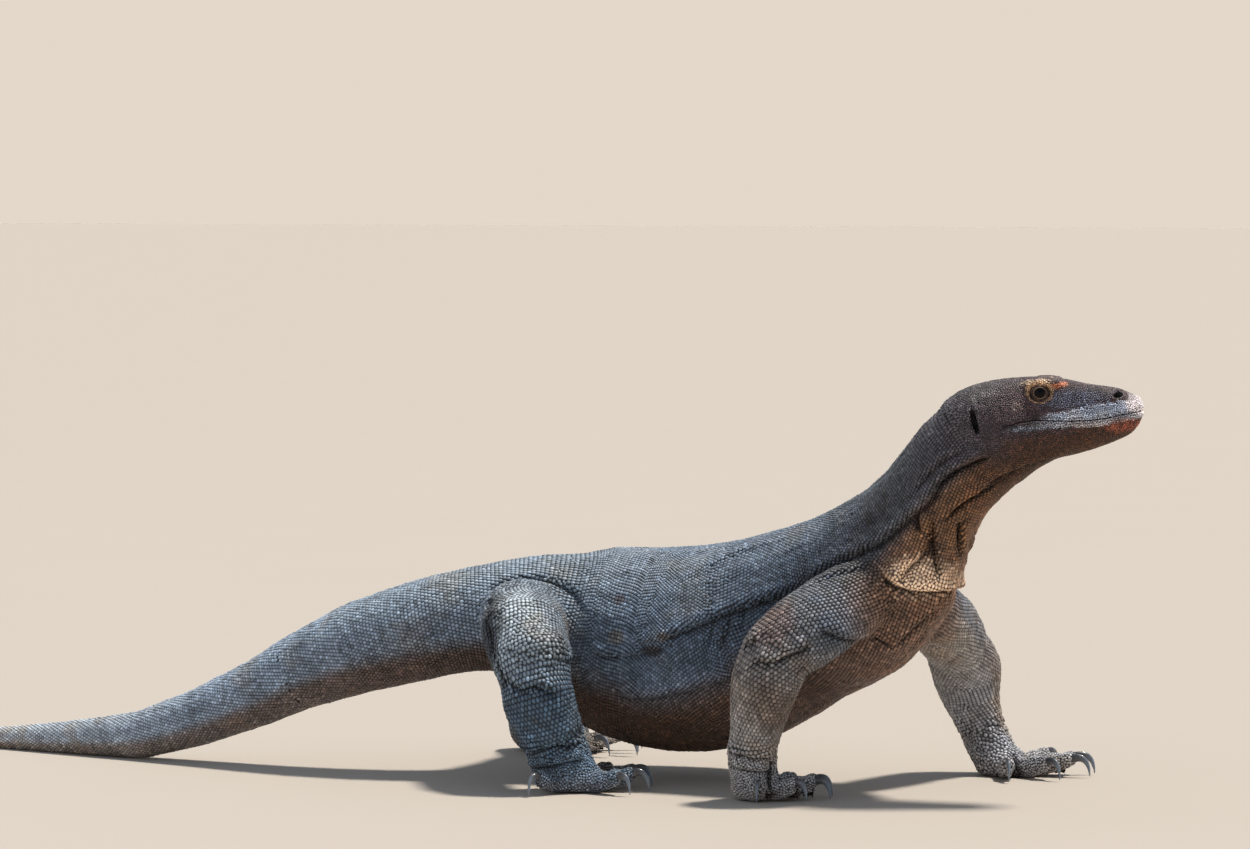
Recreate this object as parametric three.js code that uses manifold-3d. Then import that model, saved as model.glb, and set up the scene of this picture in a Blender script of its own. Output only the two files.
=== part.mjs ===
// A life-size Komodo dragon, walking with its head raised: one mesh for each part of the body.
// Millimetres, +X towards the snout, +Y the animal's left, +Z up. The soles and the tail rest on z = 0.
import * as THREE from "three";
import { mergeVertices } from "three/addons/utils/BufferGeometryUtils.js";
import Module from "manifold-3d";

const wasm = await Module();
wasm.setup();

// ---- Driving dimensions -------------------------------------------------------------------------

const GAP = 0.4; // clearance between neighbouring parts
const FLOOR = 0;
const FLAT = 1.0; // how far soles and tail sink below the floor before they are cut flat
const STANCE_CENTRE = [-8, 56]; // middle of the stance in x and y, which is moved to the origin

const UP = new THREE.Vector3(0, 0, 1);
const FORWARD = new THREE.Vector3(1, 0, 0);

// Stations of the tail, trunk and neck along the spine: centre x, y, z, half width, height above
// and below the centre, and how square the section is (2 is an ellipse).
const SPINE = [
  { at: [-990, 44, 3.5], half: 2, above: 2.5, below: 3.5, square: 2 },
  { at: [-900, 54, 6.5], half: 5, above: 6, below: 6.8, square: 2 },
  { at: [-790, 54, 9.5], half: 8, above: 9, below: 10, square: 2 },
  { at: [-680, 40, 11.5], half: 10, above: 11, below: 12.2, square: 2 },
  { at: [-573, 20, 14], half: 12, above: 13, below: 14.6, square: 2 },
  { at: [-474, 0, 19], half: 16, above: 20, below: 19.8, square: 2 },
  { at: [-411, -12, 23.5], half: 19, above: 25, below: 24.4, square: 2 },
  { at: [-345, -22, 30.5], half: 23, above: 30, below: 31, square: 2 },
  { at: [-261, -32, 55], half: 29, above: 36, below: 35, square: 2 },
  { at: [-173, -41, 92], half: 35, above: 40, below: 43, square: 2 },
  { at: [-114, -46, 121], half: 40, above: 46, below: 49, square: 2 },
  { at: [-28, -50, 155], half: 48, above: 56, below: 58, square: 2.05 },
  { at: [54, -44, 178], half: 55, above: 62, below: 62, square: 2.1 },
  { at: [125, -26, 193], half: 61, above: 66, below: 64, square: 2.15 },
  { at: [188, 2, 195], half: 76, above: 79, below: 80, square: 2.2 },
  { at: [255, 28, 174], half: 104, above: 112, below: 110, square: 2.2 },
  { at: [325, 44, 162], half: 126, above: 122, below: 126, square: 2.2 },
  { at: [392, 46, 163], half: 134, above: 124, below: 131, square: 2.15 },
  { at: [461, 37, 176], half: 128, above: 122, below: 124, square: 2.15 },
  { at: [532, 19, 205], half: 112, above: 112, below: 111, square: 2.15 },
  { at: [609, -9, 248], half: 92, above: 95, below: 118, square: 2.1 },
  { at: [676, -38, 301], half: 70, above: 79, below: 106, square: 2.05 },
  { at: [722, -57, 356], half: 56, above: 62, below: 71, square: 2 },
  { at: [759, -62, 405], half: 53, above: 59, below: 70, square: 2 },
  { at: [804, -54, 438], half: 52, above: 60, below: 64, square: 2 },
  { at: [850, -44, 456], half: 38, above: 40, below: 44, square: 2 },
];

// The head, from the tip of the snout back along its own axis: distance, half width, height of
// the crown and of the jaw's edge from the axis, and the squareness of the roof.
const SNOUT_TIP = [976, -12, 469];
const HEAD_HEADING = 13; // degrees to the left of +X
const HEAD_PITCH = 5; // degrees that the snout points up
const HEAD = [
  { back: 2.5, half: 6, crown: 8, jaw: 6, square: 2 },
  { back: 4.5, half: 13, crown: 12.5, jaw: 11, square: 2.1 },
  { back: 9.5, half: 20, crown: 16, jaw: 20, square: 2.2 },
  { back: 18, half: 25.5, crown: 20, jaw: 28.5, square: 2.3 },
  { back: 29, half: 29, crown: 26, jaw: 33.5, square: 2.4 },
  { back: 46, half: 32, crown: 30, jaw: 39, square: 2.5 },
  { back: 66, half: 35, crown: 34, jaw: 44.5, square: 2.6 },
  { back: 87, half: 39, crown: 41, jaw: 48.5, square: 2.6 },
  { back: 108, half: 43, crown: 46, jaw: 51.5, square: 2.5 },
  { back: 130, half: 47, crown: 48, jaw: 61, square: 2.4, keel: 2 },
  { back: 153, half: 53, crown: 48.5, jaw: 76, square: 2.4, keel: 1.8 },
  { back: 177, half: 58, crown: 47.5, jaw: 86, square: 2.3, keel: 1.8 },
  { back: 199, half: 57, crown: 44, jaw: 74, square: 2.2, keel: 1.8 },
  { back: 218, half: 53, crown: 38, jaw: 60, square: 2.1, keel: 1.9 },
  { back: 240, half: 41, crown: 24, jaw: 40, square: 2, keel: 2 },
];
const BROW = { back: 116, side: 32, height: 39, length: 23, width: 12, depth: 8.5, tilt: 3 };
const EYE = { back: 119, side: 38.5, height: 29, radius: 9 };
const EAR = { back: 196, side: 57, height: 3, tall: 16.5, deep: 8, wide: 4, lean: 10 };
const NOSTRIL = { back: 29, side: 26, height: 18.3, tall: 3.6, deep: 7, wide: 5.5 };
// The mouth line in the head's own plane: distance back from the tip and height over the axis.
const MOUTH_LINE = [
  [-8, -2],
  [13, -3.5],
  [23, -4.2],
  [40, -7],
  [62, -8],
  [87, -7],
  [110, -4.3],
  [127, -2.3],
  [144, -3],
  [162, -7],
  [176, -13],
];
const JAW_BREAK = [118, -75]; // where the lower jaw's rear cut leaves the throat

// Legs: stations down each limb from inside the body to the wrist or ankle, then the foot.
// "thick" is half the inner-to-outer thickness, "front" and "rear" reach to the leading and trailing edge.
const LEGS = {
  fore_right: {
    stations: [
      { at: [668, -40, 262], thick: 42, front: 48, rear: 50 },
      { at: [648, -92, 247], thick: 44, front: 52, rear: 52 },
      { at: [616, -140, 215], thick: 43, front: 50, rear: 49 },
      { at: [580, -172, 180], thick: 41, front: 44, rear: 47 },
      { at: [563, -179, 143], thick: 37, front: 38, rear: 44 },
      { at: [552, -172, 104], thick: 33, front: 33, rear: 38 },
      { at: [541, -160, 66], thick: 28, front: 28, rear: 32 },
      { at: [536, -150, 36], thick: 29, front: 29, rear: 31 },
      { at: [537, -146, 14], thick: 26, front: 28, rear: 27 },
    ],
    joints: [3, 6],
    foot: { at: [538, -143], long: 34, wide: 32, tall: 26, yaw: 5 },
    digits: [
      { yaw: 66, reach: 70 },
      { yaw: 33, reach: 92 },
      { yaw: 13, reach: 88 },
      { yaw: -13, reach: 70 },
      { yaw: -70, reach: 58 },
    ],
    claw: 1,
  },
  fore_left: {
    stations: [
      { at: [668, 8, 240], thick: 40, front: 36, rear: 46 },
      { at: [680, 64, 219], thick: 42, front: 40, rear: 48 },
      { at: [690, 120, 190], thick: 42, front: 37, rear: 47 },
      { at: [690, 170, 160], thick: 40, front: 38, rear: 45 },
      { at: [688, 200, 125], thick: 37, front: 41, rear: 44 },
      { at: [692, 211, 90], thick: 31, front: 35, rear: 39 },
      { at: [705, 212, 56], thick: 27, front: 28, rear: 32 },
      { at: [716, 212, 32], thick: 28, front: 29, rear: 29 },
      { at: [722, 212, 13], thick: 25, front: 28, rear: 27 },
    ],
    joints: [3, 6],
    foot: { at: [728, 211], long: 36, wide: 33, tall: 25, yaw: 0 },
    digits: [
      { yaw: -66, reach: 92 },
      { yaw: -26, reach: 100 },
      { yaw: 5, reach: 112 },
      { yaw: 22, reach: 116 },
      { yaw: 60, reach: 96 },
    ],
    claw: 1.05,
  },
  hind_right: {
    stations: [
      { at: [186, -18, 200], thick: 50, front: 56, rear: 54 },
      { at: [203, -72, 200], thick: 50, front: 56, rear: 54 },
      { at: [232, -126, 186], thick: 48, front: 53, rear: 52 },
      { at: [256, -166, 158], thick: 44, front: 49, rear: 48 },
      { at: [269, -176, 121], thick: 40, front: 43, rear: 44 },
      { at: [279, -168, 84], thick: 35, front: 40, rear: 43 },
      { at: [286, -157, 54], thick: 32, front: 39, rear: 43 },
      { at: [291, -150, 32], thick: 33, front: 39, rear: 43 },
      { at: [292, -147, 14], thick: 30, front: 35, rear: 38 },
    ],
    joints: [3, 6],
    foot: { at: [298, -145], long: 45, wide: 35, tall: 25, yaw: 0 },
    digits: [
      { yaw: 74, reach: 86 },
      { yaw: 43, reach: 106 },
      { yaw: 14, reach: 96 },
      { yaw: -18, reach: 94 },
      { yaw: -104, reach: 84 },
    ],
    claw: 1,
  },
  hind_left: {
    stations: [
      { at: [178, 14, 200], thick: 50, front: 54, rear: 54 },
      { at: [184, 74, 198], thick: 50, front: 52, rear: 53 },
      { at: [182, 136, 180], thick: 48, front: 50, rear: 52 },
      { at: [168, 192, 152], thick: 43, front: 46, rear: 48 },
      { at: [143, 224, 118], thick: 39, front: 41, rear: 43 },
      { at: [113, 242, 84], thick: 34, front: 37, rear: 39 },
      { at: [90, 251, 56], thick: 31, front: 34, rear: 37 },
      { at: [82, 254, 34], thick: 32, front: 35, rear: 37 },
      { at: [84, 254, 14], thick: 30, front: 35, rear: 33 },
    ],
    joints: [3, 6],
    foot: { at: [104, 251], long: 50, wide: 35, tall: 24, yaw: -6 },
    digits: [
      { yaw: -24, reach: 112 },
      { yaw: -9, reach: 132 },
      { yaw: 8, reach: 118 },
      { yaw: 27, reach: 120 },
      { yaw: 78, reach: 90 },
    ],
    claw: 1,
  },
};
const LEG_SPINE_GAP = 0.5;
const LIMB_PARTS = { fore: ["upper_arm", "forearm", "hand"], hind: ["thigh", "shank", "foot"] };

// One digit as shares of its reach from the middle of the palm, with heights and radii. Its claw
// starts at a flat joint across the digit and arches down to a point just clear of the floor.
const DIGIT = [
  { share: 0.15, z: 14, wide: 13.5, tall: 13.5 },
  { share: 0.48, z: 12.5, wide: 12, tall: 13 },
  { share: 0.72, z: 20, wide: 10, tall: 11 },
  { share: 0.87, z: 21, wide: 5, tall: 7 },
];
const CLAW_JOINT = 0.8;
const CLAW = { root: 0.74, rootZ: 21.5, archZ: 31, tipZ: 1.6, wide: 4.3, tall: 6.2, tip: 0.7 };

// Where the spine is cut: index along the stations, a whole number being the station itself.
const CUTS = [3.4, 7, 10, 13.2, 15, 18.6, 21.2];
const SPINE_NAMES = [
  "tail_tip",
  "tail_rear",
  "tail_middle",
  "tail_base",
  "hips",
  "belly",
  "chest",
];
// The cut between neck and head, behind the ear: distance back at the nape and at the throat.
const HEAD_CUT = { nape: 245, throat: 190, drop: 130 };

const COLOURS = {
  hide: 0x5a5a58,
  throat: 0x75624c,
  face: 0x5c4a44,
  claw: 0x2c333b,
  eye: 0x17120e,
};

// ---- Lofts and solids ----------------------------------------------------------------------------

// A closed solid from a mesh whose shared corners are merged.
function solidFrom(geometry) {
  geometry.deleteAttribute("normal");
  geometry.deleteAttribute("uv");
  const merged = mergeVertices(geometry, 1e-4);
  const solid = new wasm.Manifold(
    new wasm.Mesh({
      numProp: 3,
      vertProperties: merged.attributes.position.array,
      triVerts: new Uint32Array(merged.index.array),
    }),
  );
  if (solid.volume() < 0) throw new Error("a loft is inside out");
  return solid;
}

// A point of a section at an angle, as shares of its half width and height.
function superellipse(angle, square) {
  const power = 2 / square;
  const c = Math.cos(angle);
  const s = Math.sin(angle);
  return [Math.sign(c) * Math.abs(c) ** power, Math.sign(s) * Math.abs(s) ** power];
}

// A smooth run of sections between stations. Each section has its place, the way it faces, its
// half width, its heights above and below, and its squareness. "stepsIn" gives a span's steps.
function sectionsAlong(stations, stepsIn, reference) {
  const path = new THREE.CatmullRomCurve3(stations.map((s) => new THREE.Vector3(...s.at)));
  const sizes = new THREE.CatmullRomCurve3(
    stations.map((s) => new THREE.Vector3(s.half, s.above, s.below)),
    false,
    "catmullrom",
    0.5,
  );
  const spans = stations.length - 1;
  const sectionAt = (span, part) => {
    const t = (span + part) / spans;
    const facing = path.getTangent(t);
    const side = new THREE.Vector3().crossVectors(reference, facing).normalize();
    const size = sizes.getPoint(t);
    return {
      centre: path.getPoint(t),
      facing,
      side,
      up: new THREE.Vector3().crossVectors(facing, side),
      half: size.x,
      above: size.y,
      below: size.z,
      square: THREE.MathUtils.lerp(stations[span].square, stations[span + 1].square, part),
    };
  };
  const sections = [sectionAt(0, 0)];
  for (let span = 0; span < spans; span++) {
    const steps = stepsIn(span);
    for (let i = 1; i <= steps; i++) sections.push(sectionAt(span, i / steps));
  }
  return sections;
}

// A closed skin over a run of sections, each end closed at its middle. "grow" widens every section.
function loft(sections, segments, grow = 0) {
  const points = [];
  for (const s of sections) {
    for (let k = 0; k < segments; k++) {
      const angle = (k / segments) * 2 * Math.PI;
      const lower = Math.sin(angle) < 0;
      const [across, high] = superellipse(angle, lower ? (s.keel ?? s.square) : s.square);
      const height = (lower ? s.below : s.above) + grow;
      points.push(
        s.centre
          .clone()
          .addScaledVector(s.side, across * (s.half + grow))
          .addScaledVector(s.up, high * height),
      );
    }
  }
  const first = sections[0];
  const last = sections.at(-1);
  points.push(first.centre.clone().addScaledVector(first.facing, -grow));
  points.push(last.centre.clone().addScaledVector(last.facing, grow));
  const indices = [];
  for (let i = 0; i + 1 < sections.length; i++) {
    for (let k = 0; k < segments; k++) {
      const next = (k + 1) % segments;
      const a = i * segments + k;
      const b = i * segments + next;
      indices.push(a, b, b + segments, a, b + segments, a + segments);
    }
  }
  const tail = points.length - 2;
  const lastRing = (sections.length - 1) * segments;
  for (let k = 0; k < segments; k++) {
    const next = (k + 1) % segments;
    indices.push(tail, next, k);
    indices.push(tail + 1, lastRing + k, lastRing + next);
  }
  const geometry = new THREE.BufferGeometry().setFromPoints(points);
  geometry.setIndex(indices);
  return geometry;
}

// The same solid without what lies on the far side of a plane through a point.
function keepAhead(solid, point, normal) {
  const n = normal.clone().normalize();
  return solid.trimByPlane([n.x, n.y, n.z], n.dot(point) + GAP / 2);
}

// The largest piece of a solid, as booleans may leave crumbs.
function mainPiece(solid) {
  return solid.decompose().sort((a, b) => b.volume() - a.volume())[0];
}

// An ellipsoid in a frame, as a solid.
function ellipsoid(radii, matrix, wide = 14, high = 9) {
  const ball = new THREE.SphereGeometry(1, wide, high);
  ball.scale(...radii);
  ball.applyMatrix4(matrix);
  return solidFrom(ball);
}

function meshOf(name, solid, colour, roughness = 0.75) {
  const made = solid.getMesh();
  const geometry = new THREE.BufferGeometry();
  geometry.setAttribute(
    "position",
    new THREE.BufferAttribute(new Float32Array(made.vertProperties), 3),
  );
  geometry.setIndex(new THREE.BufferAttribute(new Uint32Array(made.triVerts), 1));
  geometry.computeVertexNormals();
  const material = new THREE.MeshStandardMaterial({ color: colour, roughness, metalness: 0 });
  const mesh = new THREE.Mesh(geometry, material);
  mesh.name = name;
  return mesh;
}

// ---- Spine: tail, hips, belly, chest and neck ------------------------------------------------------

const SPINE_SEGMENTS = 20; // a multiple of four, so that the sections are symmetric
const TAIL_SPANS = 12; // spans of the tail, which bends so little that one step is enough
const spineSections = sectionsAlong(SPINE, (span) => (span < TAIL_SPANS ? 1 : 2), UP);
const headFrame = new THREE.Matrix4()
  .makeTranslation(...SNOUT_TIP)
  .multiply(new THREE.Matrix4().makeRotationZ(THREE.MathUtils.degToRad(HEAD_HEADING)))
  .multiply(new THREE.Matrix4().makeRotationY(THREE.MathUtils.degToRad(-HEAD_PITCH)));

// A place on the head from its distance behind the snout, its side (left is +) and its height.
function headPoint(back, side, height) {
  return new THREE.Vector3(-back, side, height).applyMatrix4(headFrame);
}

const headSections = HEAD.map((s) => {
  const facing = new THREE.Vector3(-1, 0, 0).transformDirection(headFrame);
  const side = new THREE.Vector3(0, -1, 0).transformDirection(headFrame);
  return {
    centre: headPoint(s.back, 0, 0),
    facing,
    side,
    up: new THREE.Vector3().crossVectors(facing, side),
    half: s.half,
    above: s.crown,
    below: s.jaw,
    square: s.square,
    keel: s.keel,
  };
});

// Body and head as one solid, widened all round by "grow".
function wholeBody(grow) {
  return solidFrom(loft(spineSections, SPINE_SEGMENTS, grow)).add(
    solidFrom(loft(headSections, SPINE_SEGMENTS, grow)),
  );
}

function aboveFloor(solid) {
  return solid.trimByPlane([0, 0, 1], FLOOR);
}

const body = aboveFloor(wholeBody(0));
const bodyClearance = wholeBody(LEG_SPINE_GAP);

const spinePath = new THREE.CatmullRomCurve3(SPINE.map((s) => new THREE.Vector3(...s.at)));
const cutPlanes = CUTS.map((station) => {
  const t = station / (SPINE.length - 1);
  return { point: spinePath.getPoint(t), normal: spinePath.getTangent(t) };
});
const napePoint = headPoint(HEAD_CUT.nape, 0, HEAD_CUT.drop / 2);
const throatPoint = headPoint(HEAD_CUT.throat, 0, -HEAD_CUT.drop / 2);
const headCut = {
  point: napePoint,
  normal: new THREE.Vector3().crossVectors(
    new THREE.Vector3().subVectors(throatPoint, napePoint),
    new THREE.Vector3(0, -1, 0).transformDirection(headFrame),
  ),
};
if (headCut.normal.x < 0) headCut.normal.negate();

// The slice of the body between two cuts.
function slice(solid, from, to) {
  let piece = solid;
  if (from) piece = keepAhead(piece, from.point, from.normal);
  if (to) piece = keepAhead(piece, to.point, to.normal.clone().negate());
  return mainPiece(piece);
}

const spineParts = SPINE_NAMES.map((name, i) => ({
  name,
  solid: slice(body, cutPlanes[i - 1], cutPlanes[i]),
}));
spineParts.push({ name: "neck", solid: slice(body, cutPlanes.at(-1), headCut) });

// ---- Head: skull, lower jaw, eyes, ears and nostrils ----------------------------------------------

const SIDES = { right: -1, left: 1 };

function headMatrix(back, side, height, pitch = 0) {
  const place = new THREE.Matrix4().makeTranslation(-back, side, height);
  const turn = new THREE.Matrix4().makeRotationY(THREE.MathUtils.degToRad(pitch));
  return headFrame.clone().multiply(place).multiply(turn);
}

let wholeHead = slice(body, headCut, null);
const eyes = [];
for (const [side, sign] of Object.entries(SIDES)) {
  const brow = ellipsoid(
    [BROW.length, BROW.width, BROW.depth],
    headMatrix(BROW.back, sign * BROW.side, BROW.height, BROW.tilt),
    10,
    6,
  );
  const eyeAt = headMatrix(EYE.back, sign * EYE.side, EYE.height);
  const ball = ellipsoid([EYE.radius, EYE.radius, EYE.radius], eyeAt, 9, 6);
  const socket = EYE.radius + GAP;
  const ear = ellipsoid(
    [EAR.wide, EAR.deep, EAR.tall],
    headMatrix(EAR.back, sign * EAR.side, EAR.height, EAR.lean),
    6,
    6,
  );
  const nostril = ellipsoid(
    [NOSTRIL.wide, NOSTRIL.deep, NOSTRIL.tall],
    headMatrix(NOSTRIL.back, sign * NOSTRIL.side, NOSTRIL.height),
    6,
    4,
  );
  wholeHead = wholeHead
    .add(brow)
    .subtract(ellipsoid([socket, socket, socket], eyeAt, 9, 6))
    .subtract(ear)
    .subtract(nostril);
  eyes.push({ name: "eye_" + side, solid: ball });
}
wholeHead = mainPiece(wholeHead);

// The lower jaw is everything under the mouth line and ahead of the cut down to the throat.
function jawBlock(lift) {
  const corner = MOUTH_LINE.at(-1);
  const outline = new THREE.Shape();
  outline.moveTo(-JAW_BREAK[0], JAW_BREAK[1] - 60);
  outline.lineTo(-JAW_BREAK[0] - lift, JAW_BREAK[1]);
  outline.lineTo(-corner[0] - lift, corner[1]);
  for (const [back, height] of [...MOUTH_LINE].reverse()) outline.lineTo(-back, height + lift);
  outline.lineTo(60, MOUTH_LINE[0][1] + lift);
  outline.lineTo(60, JAW_BREAK[1] - 60);
  const block = new THREE.ExtrudeGeometry(outline, { depth: 240, bevelEnabled: false });
  block.translate(0, 0, -120);
  block.rotateX(Math.PI / 2);
  block.applyMatrix4(headFrame);
  return solidFrom(block);
}

const headParts = [
  { name: "head", solid: mainPiece(wholeHead.subtract(jawBlock(GAP))) },
  { name: "lower_jaw", solid: mainPiece(wholeHead.intersect(jawBlock(0))) },
];

// ---- Legs, feet and claws --------------------------------------------------------------------------

const LEG_SEGMENTS = 12;
const DIGIT_SEGMENTS = 6;
const CLAW_SEGMENTS = 5;
const CLAW_STEPS = 4;
const ROUND = 2; // an ellipse for every section of a limb
const oneStep = () => 1;

// The level direction a digit points in.
function digitHeading(digit) {
  const yaw = THREE.MathUtils.degToRad(digit.yaw);
  return new THREE.Vector3(Math.cos(yaw), Math.sin(yaw), 0);
}

// A place on a digit: a share of its reach from the palm's middle, and a height.
function digitPoint(foot, digit, share, z) {
  return new THREE.Vector3(...foot.at, z).addScaledVector(
    digitHeading(digit),
    digit.reach * share,
  );
}

function digitSolid(foot, digit) {
  const stations = DIGIT.map((s) => ({
    at: digitPoint(foot, digit, s.share, s.z).toArray(),
    half: s.wide,
    above: s.tall,
    below: s.tall,
    square: ROUND,
  }));
  const whole = solidFrom(loft(sectionsAlong(stations, oneStep, UP), DIGIT_SEGMENTS));
  return keepAhead(whole, digitPoint(foot, digit, CLAW_JOINT, 0), digitHeading(digit).negate());
}

// A claw arches forwards out of the digit's end and down to its point.
function clawSolid(foot, digit, size) {
  const arc = new THREE.QuadraticBezierCurve3(
    digitPoint(foot, digit, CLAW.root, CLAW.rootZ),
    digitPoint(foot, digit, 1, CLAW.archZ),
    digitPoint(foot, digit, 1, CLAW.tipZ),
  );
  const side = new THREE.Vector3().crossVectors(UP, digitHeading(digit));
  const sections = Array.from({ length: CLAW_STEPS + 1 }, (_, i) => {
    const t = i / CLAW_STEPS;
    const facing = arc.getTangent(t);
    const taper = Math.sqrt(1 - t) * size;
    const tall = Math.max(CLAW.tip, CLAW.tall * taper);
    return {
      centre: arc.getPoint(t),
      facing,
      side,
      up: new THREE.Vector3().crossVectors(facing, side),
      half: Math.max(CLAW.tip, CLAW.wide * taper),
      above: tall,
      below: tall,
      square: ROUND,
    };
  });
  const whole = solidFrom(loft(sections, CLAW_SEGMENTS));
  return keepAhead(whole, digitPoint(foot, digit, CLAW_JOINT, 0), digitHeading(digit));
}

function palmSolid(foot) {
  const place = new THREE.Matrix4()
    .makeTranslation(foot.at[0], foot.at[1], foot.tall - FLAT - 8)
    .multiply(new THREE.Matrix4().makeRotationZ(THREE.MathUtils.degToRad(foot.yaw)));
  return ellipsoid([foot.long, foot.wide, foot.tall], place, 11, 6);
}

function legParts(limb, leg) {
  const stations = leg.stations.map((s) => ({
    at: s.at,
    half: s.thick,
    above: s.front,
    below: s.rear,
    square: ROUND,
  }));
  const sections = sectionsAlong(stations, oneStep, FORWARD);
  let solid = solidFrom(loft(sections, LEG_SEGMENTS)).add(palmSolid(leg.foot));
  for (const digit of leg.digits) solid = solid.add(digitSolid(leg.foot, digit));
  solid = aboveFloor(solid.subtract(bodyClearance));
  const path = new THREE.CatmullRomCurve3(leg.stations.map((s) => new THREE.Vector3(...s.at)));
  const planes = leg.joints.map((station) => {
    const t = station / (leg.stations.length - 1);
    return { point: path.getPoint(t), normal: path.getTangent(t) };
  });
  const names = LIMB_PARTS[limb.split("_")[0]];
  const side = limb.split("_")[1];
  const parts = names.map((name, i) => ({
    name: name + "_" + side,
    solid: slice(solid, planes[i - 1], planes[i]),
  }));
  leg.digits.forEach((digit, i) => {
    const name = "claw_" + limb + "_" + (i + 1);
    parts.push({ name, solid: clawSolid(leg.foot, digit, leg.claw) });
  });
  return parts;
}

// ---- The whole animal -------------------------------------------------------------------------------

const group = new THREE.Group();
const add = (part, colour, roughness) =>
  group.add(meshOf(part.name, part.solid, colour, roughness));
for (const part of spineParts) add(part, part.name === "neck" ? COLOURS.throat : COLOURS.hide);
for (const part of headParts) add(part, COLOURS.face);
for (const part of eyes) add(part, COLOURS.eye, 0.1);
for (const [limb, leg] of Object.entries(LEGS)) {
  for (const part of legParts(limb, leg)) {
    const isClaw = part.name.startsWith("claw_");
    add(part, isClaw ? COLOURS.claw : COLOURS.hide, isClaw ? 0.35 : 0.75);
  }
}
group.position.set(-STANCE_CENTRE[0], -STANCE_CENTRE[1], 0);

export default group;
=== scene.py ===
"""A life-size Komodo dragon in mid-walk, dressed in one folded skin and a coat of small bony scales.

The solids of the frame give every form its place. The flesh solids are remeshed into one skin, which is
smoothed, lowered by the depth of the coat and folded. Scales are then laid over it in rows across the body
and the limbs, and packed more freely over the head and feet. Eyes, eyelids and claws are pieces of their
own. All sizes are in metres, except where a class says that its own are in millimetres.
"""

import json
import logging
import math
from collections.abc import Callable, Iterator, Sequence
from dataclasses import dataclass, field
from enum import Enum

import bmesh
import bpy
import numpy as np
from mathutils import Matrix, Vector
from mathutils.bvhtree import BVHTree
from mathutils.kdtree import KDTree


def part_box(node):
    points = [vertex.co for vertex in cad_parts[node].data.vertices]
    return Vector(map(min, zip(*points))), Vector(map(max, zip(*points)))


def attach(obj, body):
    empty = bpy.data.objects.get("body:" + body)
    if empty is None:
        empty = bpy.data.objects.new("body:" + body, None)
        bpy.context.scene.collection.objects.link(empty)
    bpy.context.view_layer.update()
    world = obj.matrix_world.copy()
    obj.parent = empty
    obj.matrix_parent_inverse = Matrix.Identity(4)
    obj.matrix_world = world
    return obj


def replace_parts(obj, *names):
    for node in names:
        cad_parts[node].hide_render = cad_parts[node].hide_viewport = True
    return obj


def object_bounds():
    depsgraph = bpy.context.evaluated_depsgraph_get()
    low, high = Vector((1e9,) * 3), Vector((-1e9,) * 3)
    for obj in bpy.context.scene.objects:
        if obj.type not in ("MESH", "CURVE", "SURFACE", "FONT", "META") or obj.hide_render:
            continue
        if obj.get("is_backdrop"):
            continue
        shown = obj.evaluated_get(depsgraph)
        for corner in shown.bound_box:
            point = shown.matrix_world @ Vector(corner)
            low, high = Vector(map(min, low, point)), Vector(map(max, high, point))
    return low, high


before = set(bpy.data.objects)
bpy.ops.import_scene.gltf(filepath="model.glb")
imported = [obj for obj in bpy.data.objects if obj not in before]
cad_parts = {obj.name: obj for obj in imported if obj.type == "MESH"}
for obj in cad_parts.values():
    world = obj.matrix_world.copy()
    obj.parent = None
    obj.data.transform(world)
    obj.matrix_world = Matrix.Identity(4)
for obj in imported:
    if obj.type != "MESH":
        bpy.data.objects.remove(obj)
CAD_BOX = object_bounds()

Array = np.ndarray
Mesh = bpy.types.Mesh
Material = bpy.types.Material

LOG = logging.getLogger("komodo_dragon")
MM = 0.001
UP = Vector((0.0, 0.0, 1.0))
SEED = 11
ROW_STEP = math.sin(math.radians(60.0))  # the step between rows of an even packing with a spacing of 1

TRUNK = ("hips", "belly", "chest")
TAIL = ("tail_tip", "tail_rear", "tail_middle", "tail_base")
HEAD = ("head", "lower_jaw")
SPINE = (*TAIL, *TRUNK, "neck", *HEAD)
SIDES = {"right": -1.0, "left": 1.0}


def limb_nodes(kind: str, side: str) -> tuple[str, ...]:
    """Names the three nodes of a leg, from the body down."""
    parts = ("upper_arm", "forearm", "hand") if kind == "fore" else ("thigh", "shank", "foot")
    return tuple(f"{part}_{side}" for part in parts)


def claw_nodes(kind: str, side: str) -> list[str]:
    """Names the five claws of a foot."""
    return [f"claw_{kind}_{side}_{number}" for number in range(1, 6)]


LIMBS = {(kind, side): limb_nodes(kind, side) for kind in ("fore", "hind") for side in SIDES}
FLESH = (*SPINE, *(node for nodes in LIMBS.values() for node in nodes))


# ---- arithmetic on arrays


def smoothstep(low: float, high: float, values: Array) -> Array:
    """Rises smoothly from 0 at low to 1 at high."""
    share = np.clip((values - low) / (high - low), 0.0, 1.0)
    return share * share * (3.0 - 2.0 * share)


def bump_of(distance: Array, width: float) -> Array:
    """A bell that is 1 at no distance and nearly 0 at twice the width."""
    return np.exp(-((distance / width) ** 2))


def unit(vectors: Array) -> Array:
    """Scales each row to length 1."""
    return vectors / np.maximum(np.linalg.norm(vectors, axis=1, keepdims=True), 1e-12)


def linear(red: float, green: float, blue: float) -> Array:
    """Turns a screen colour of 0 to 255 into scene-linear values."""
    shares = np.array((red, green, blue)) / 255.0
    return np.where(shares > 0.04045, ((shares + 0.055) / 1.055) ** 2.4, shares / 12.92)


def tinted(colours: Array, colour: Sequence[float], weight: Array) -> Array:
    """Moves colours towards a screen colour, each by its own weight."""
    return colours + (linear(*colour) - colours) * weight[:, None]


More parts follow.
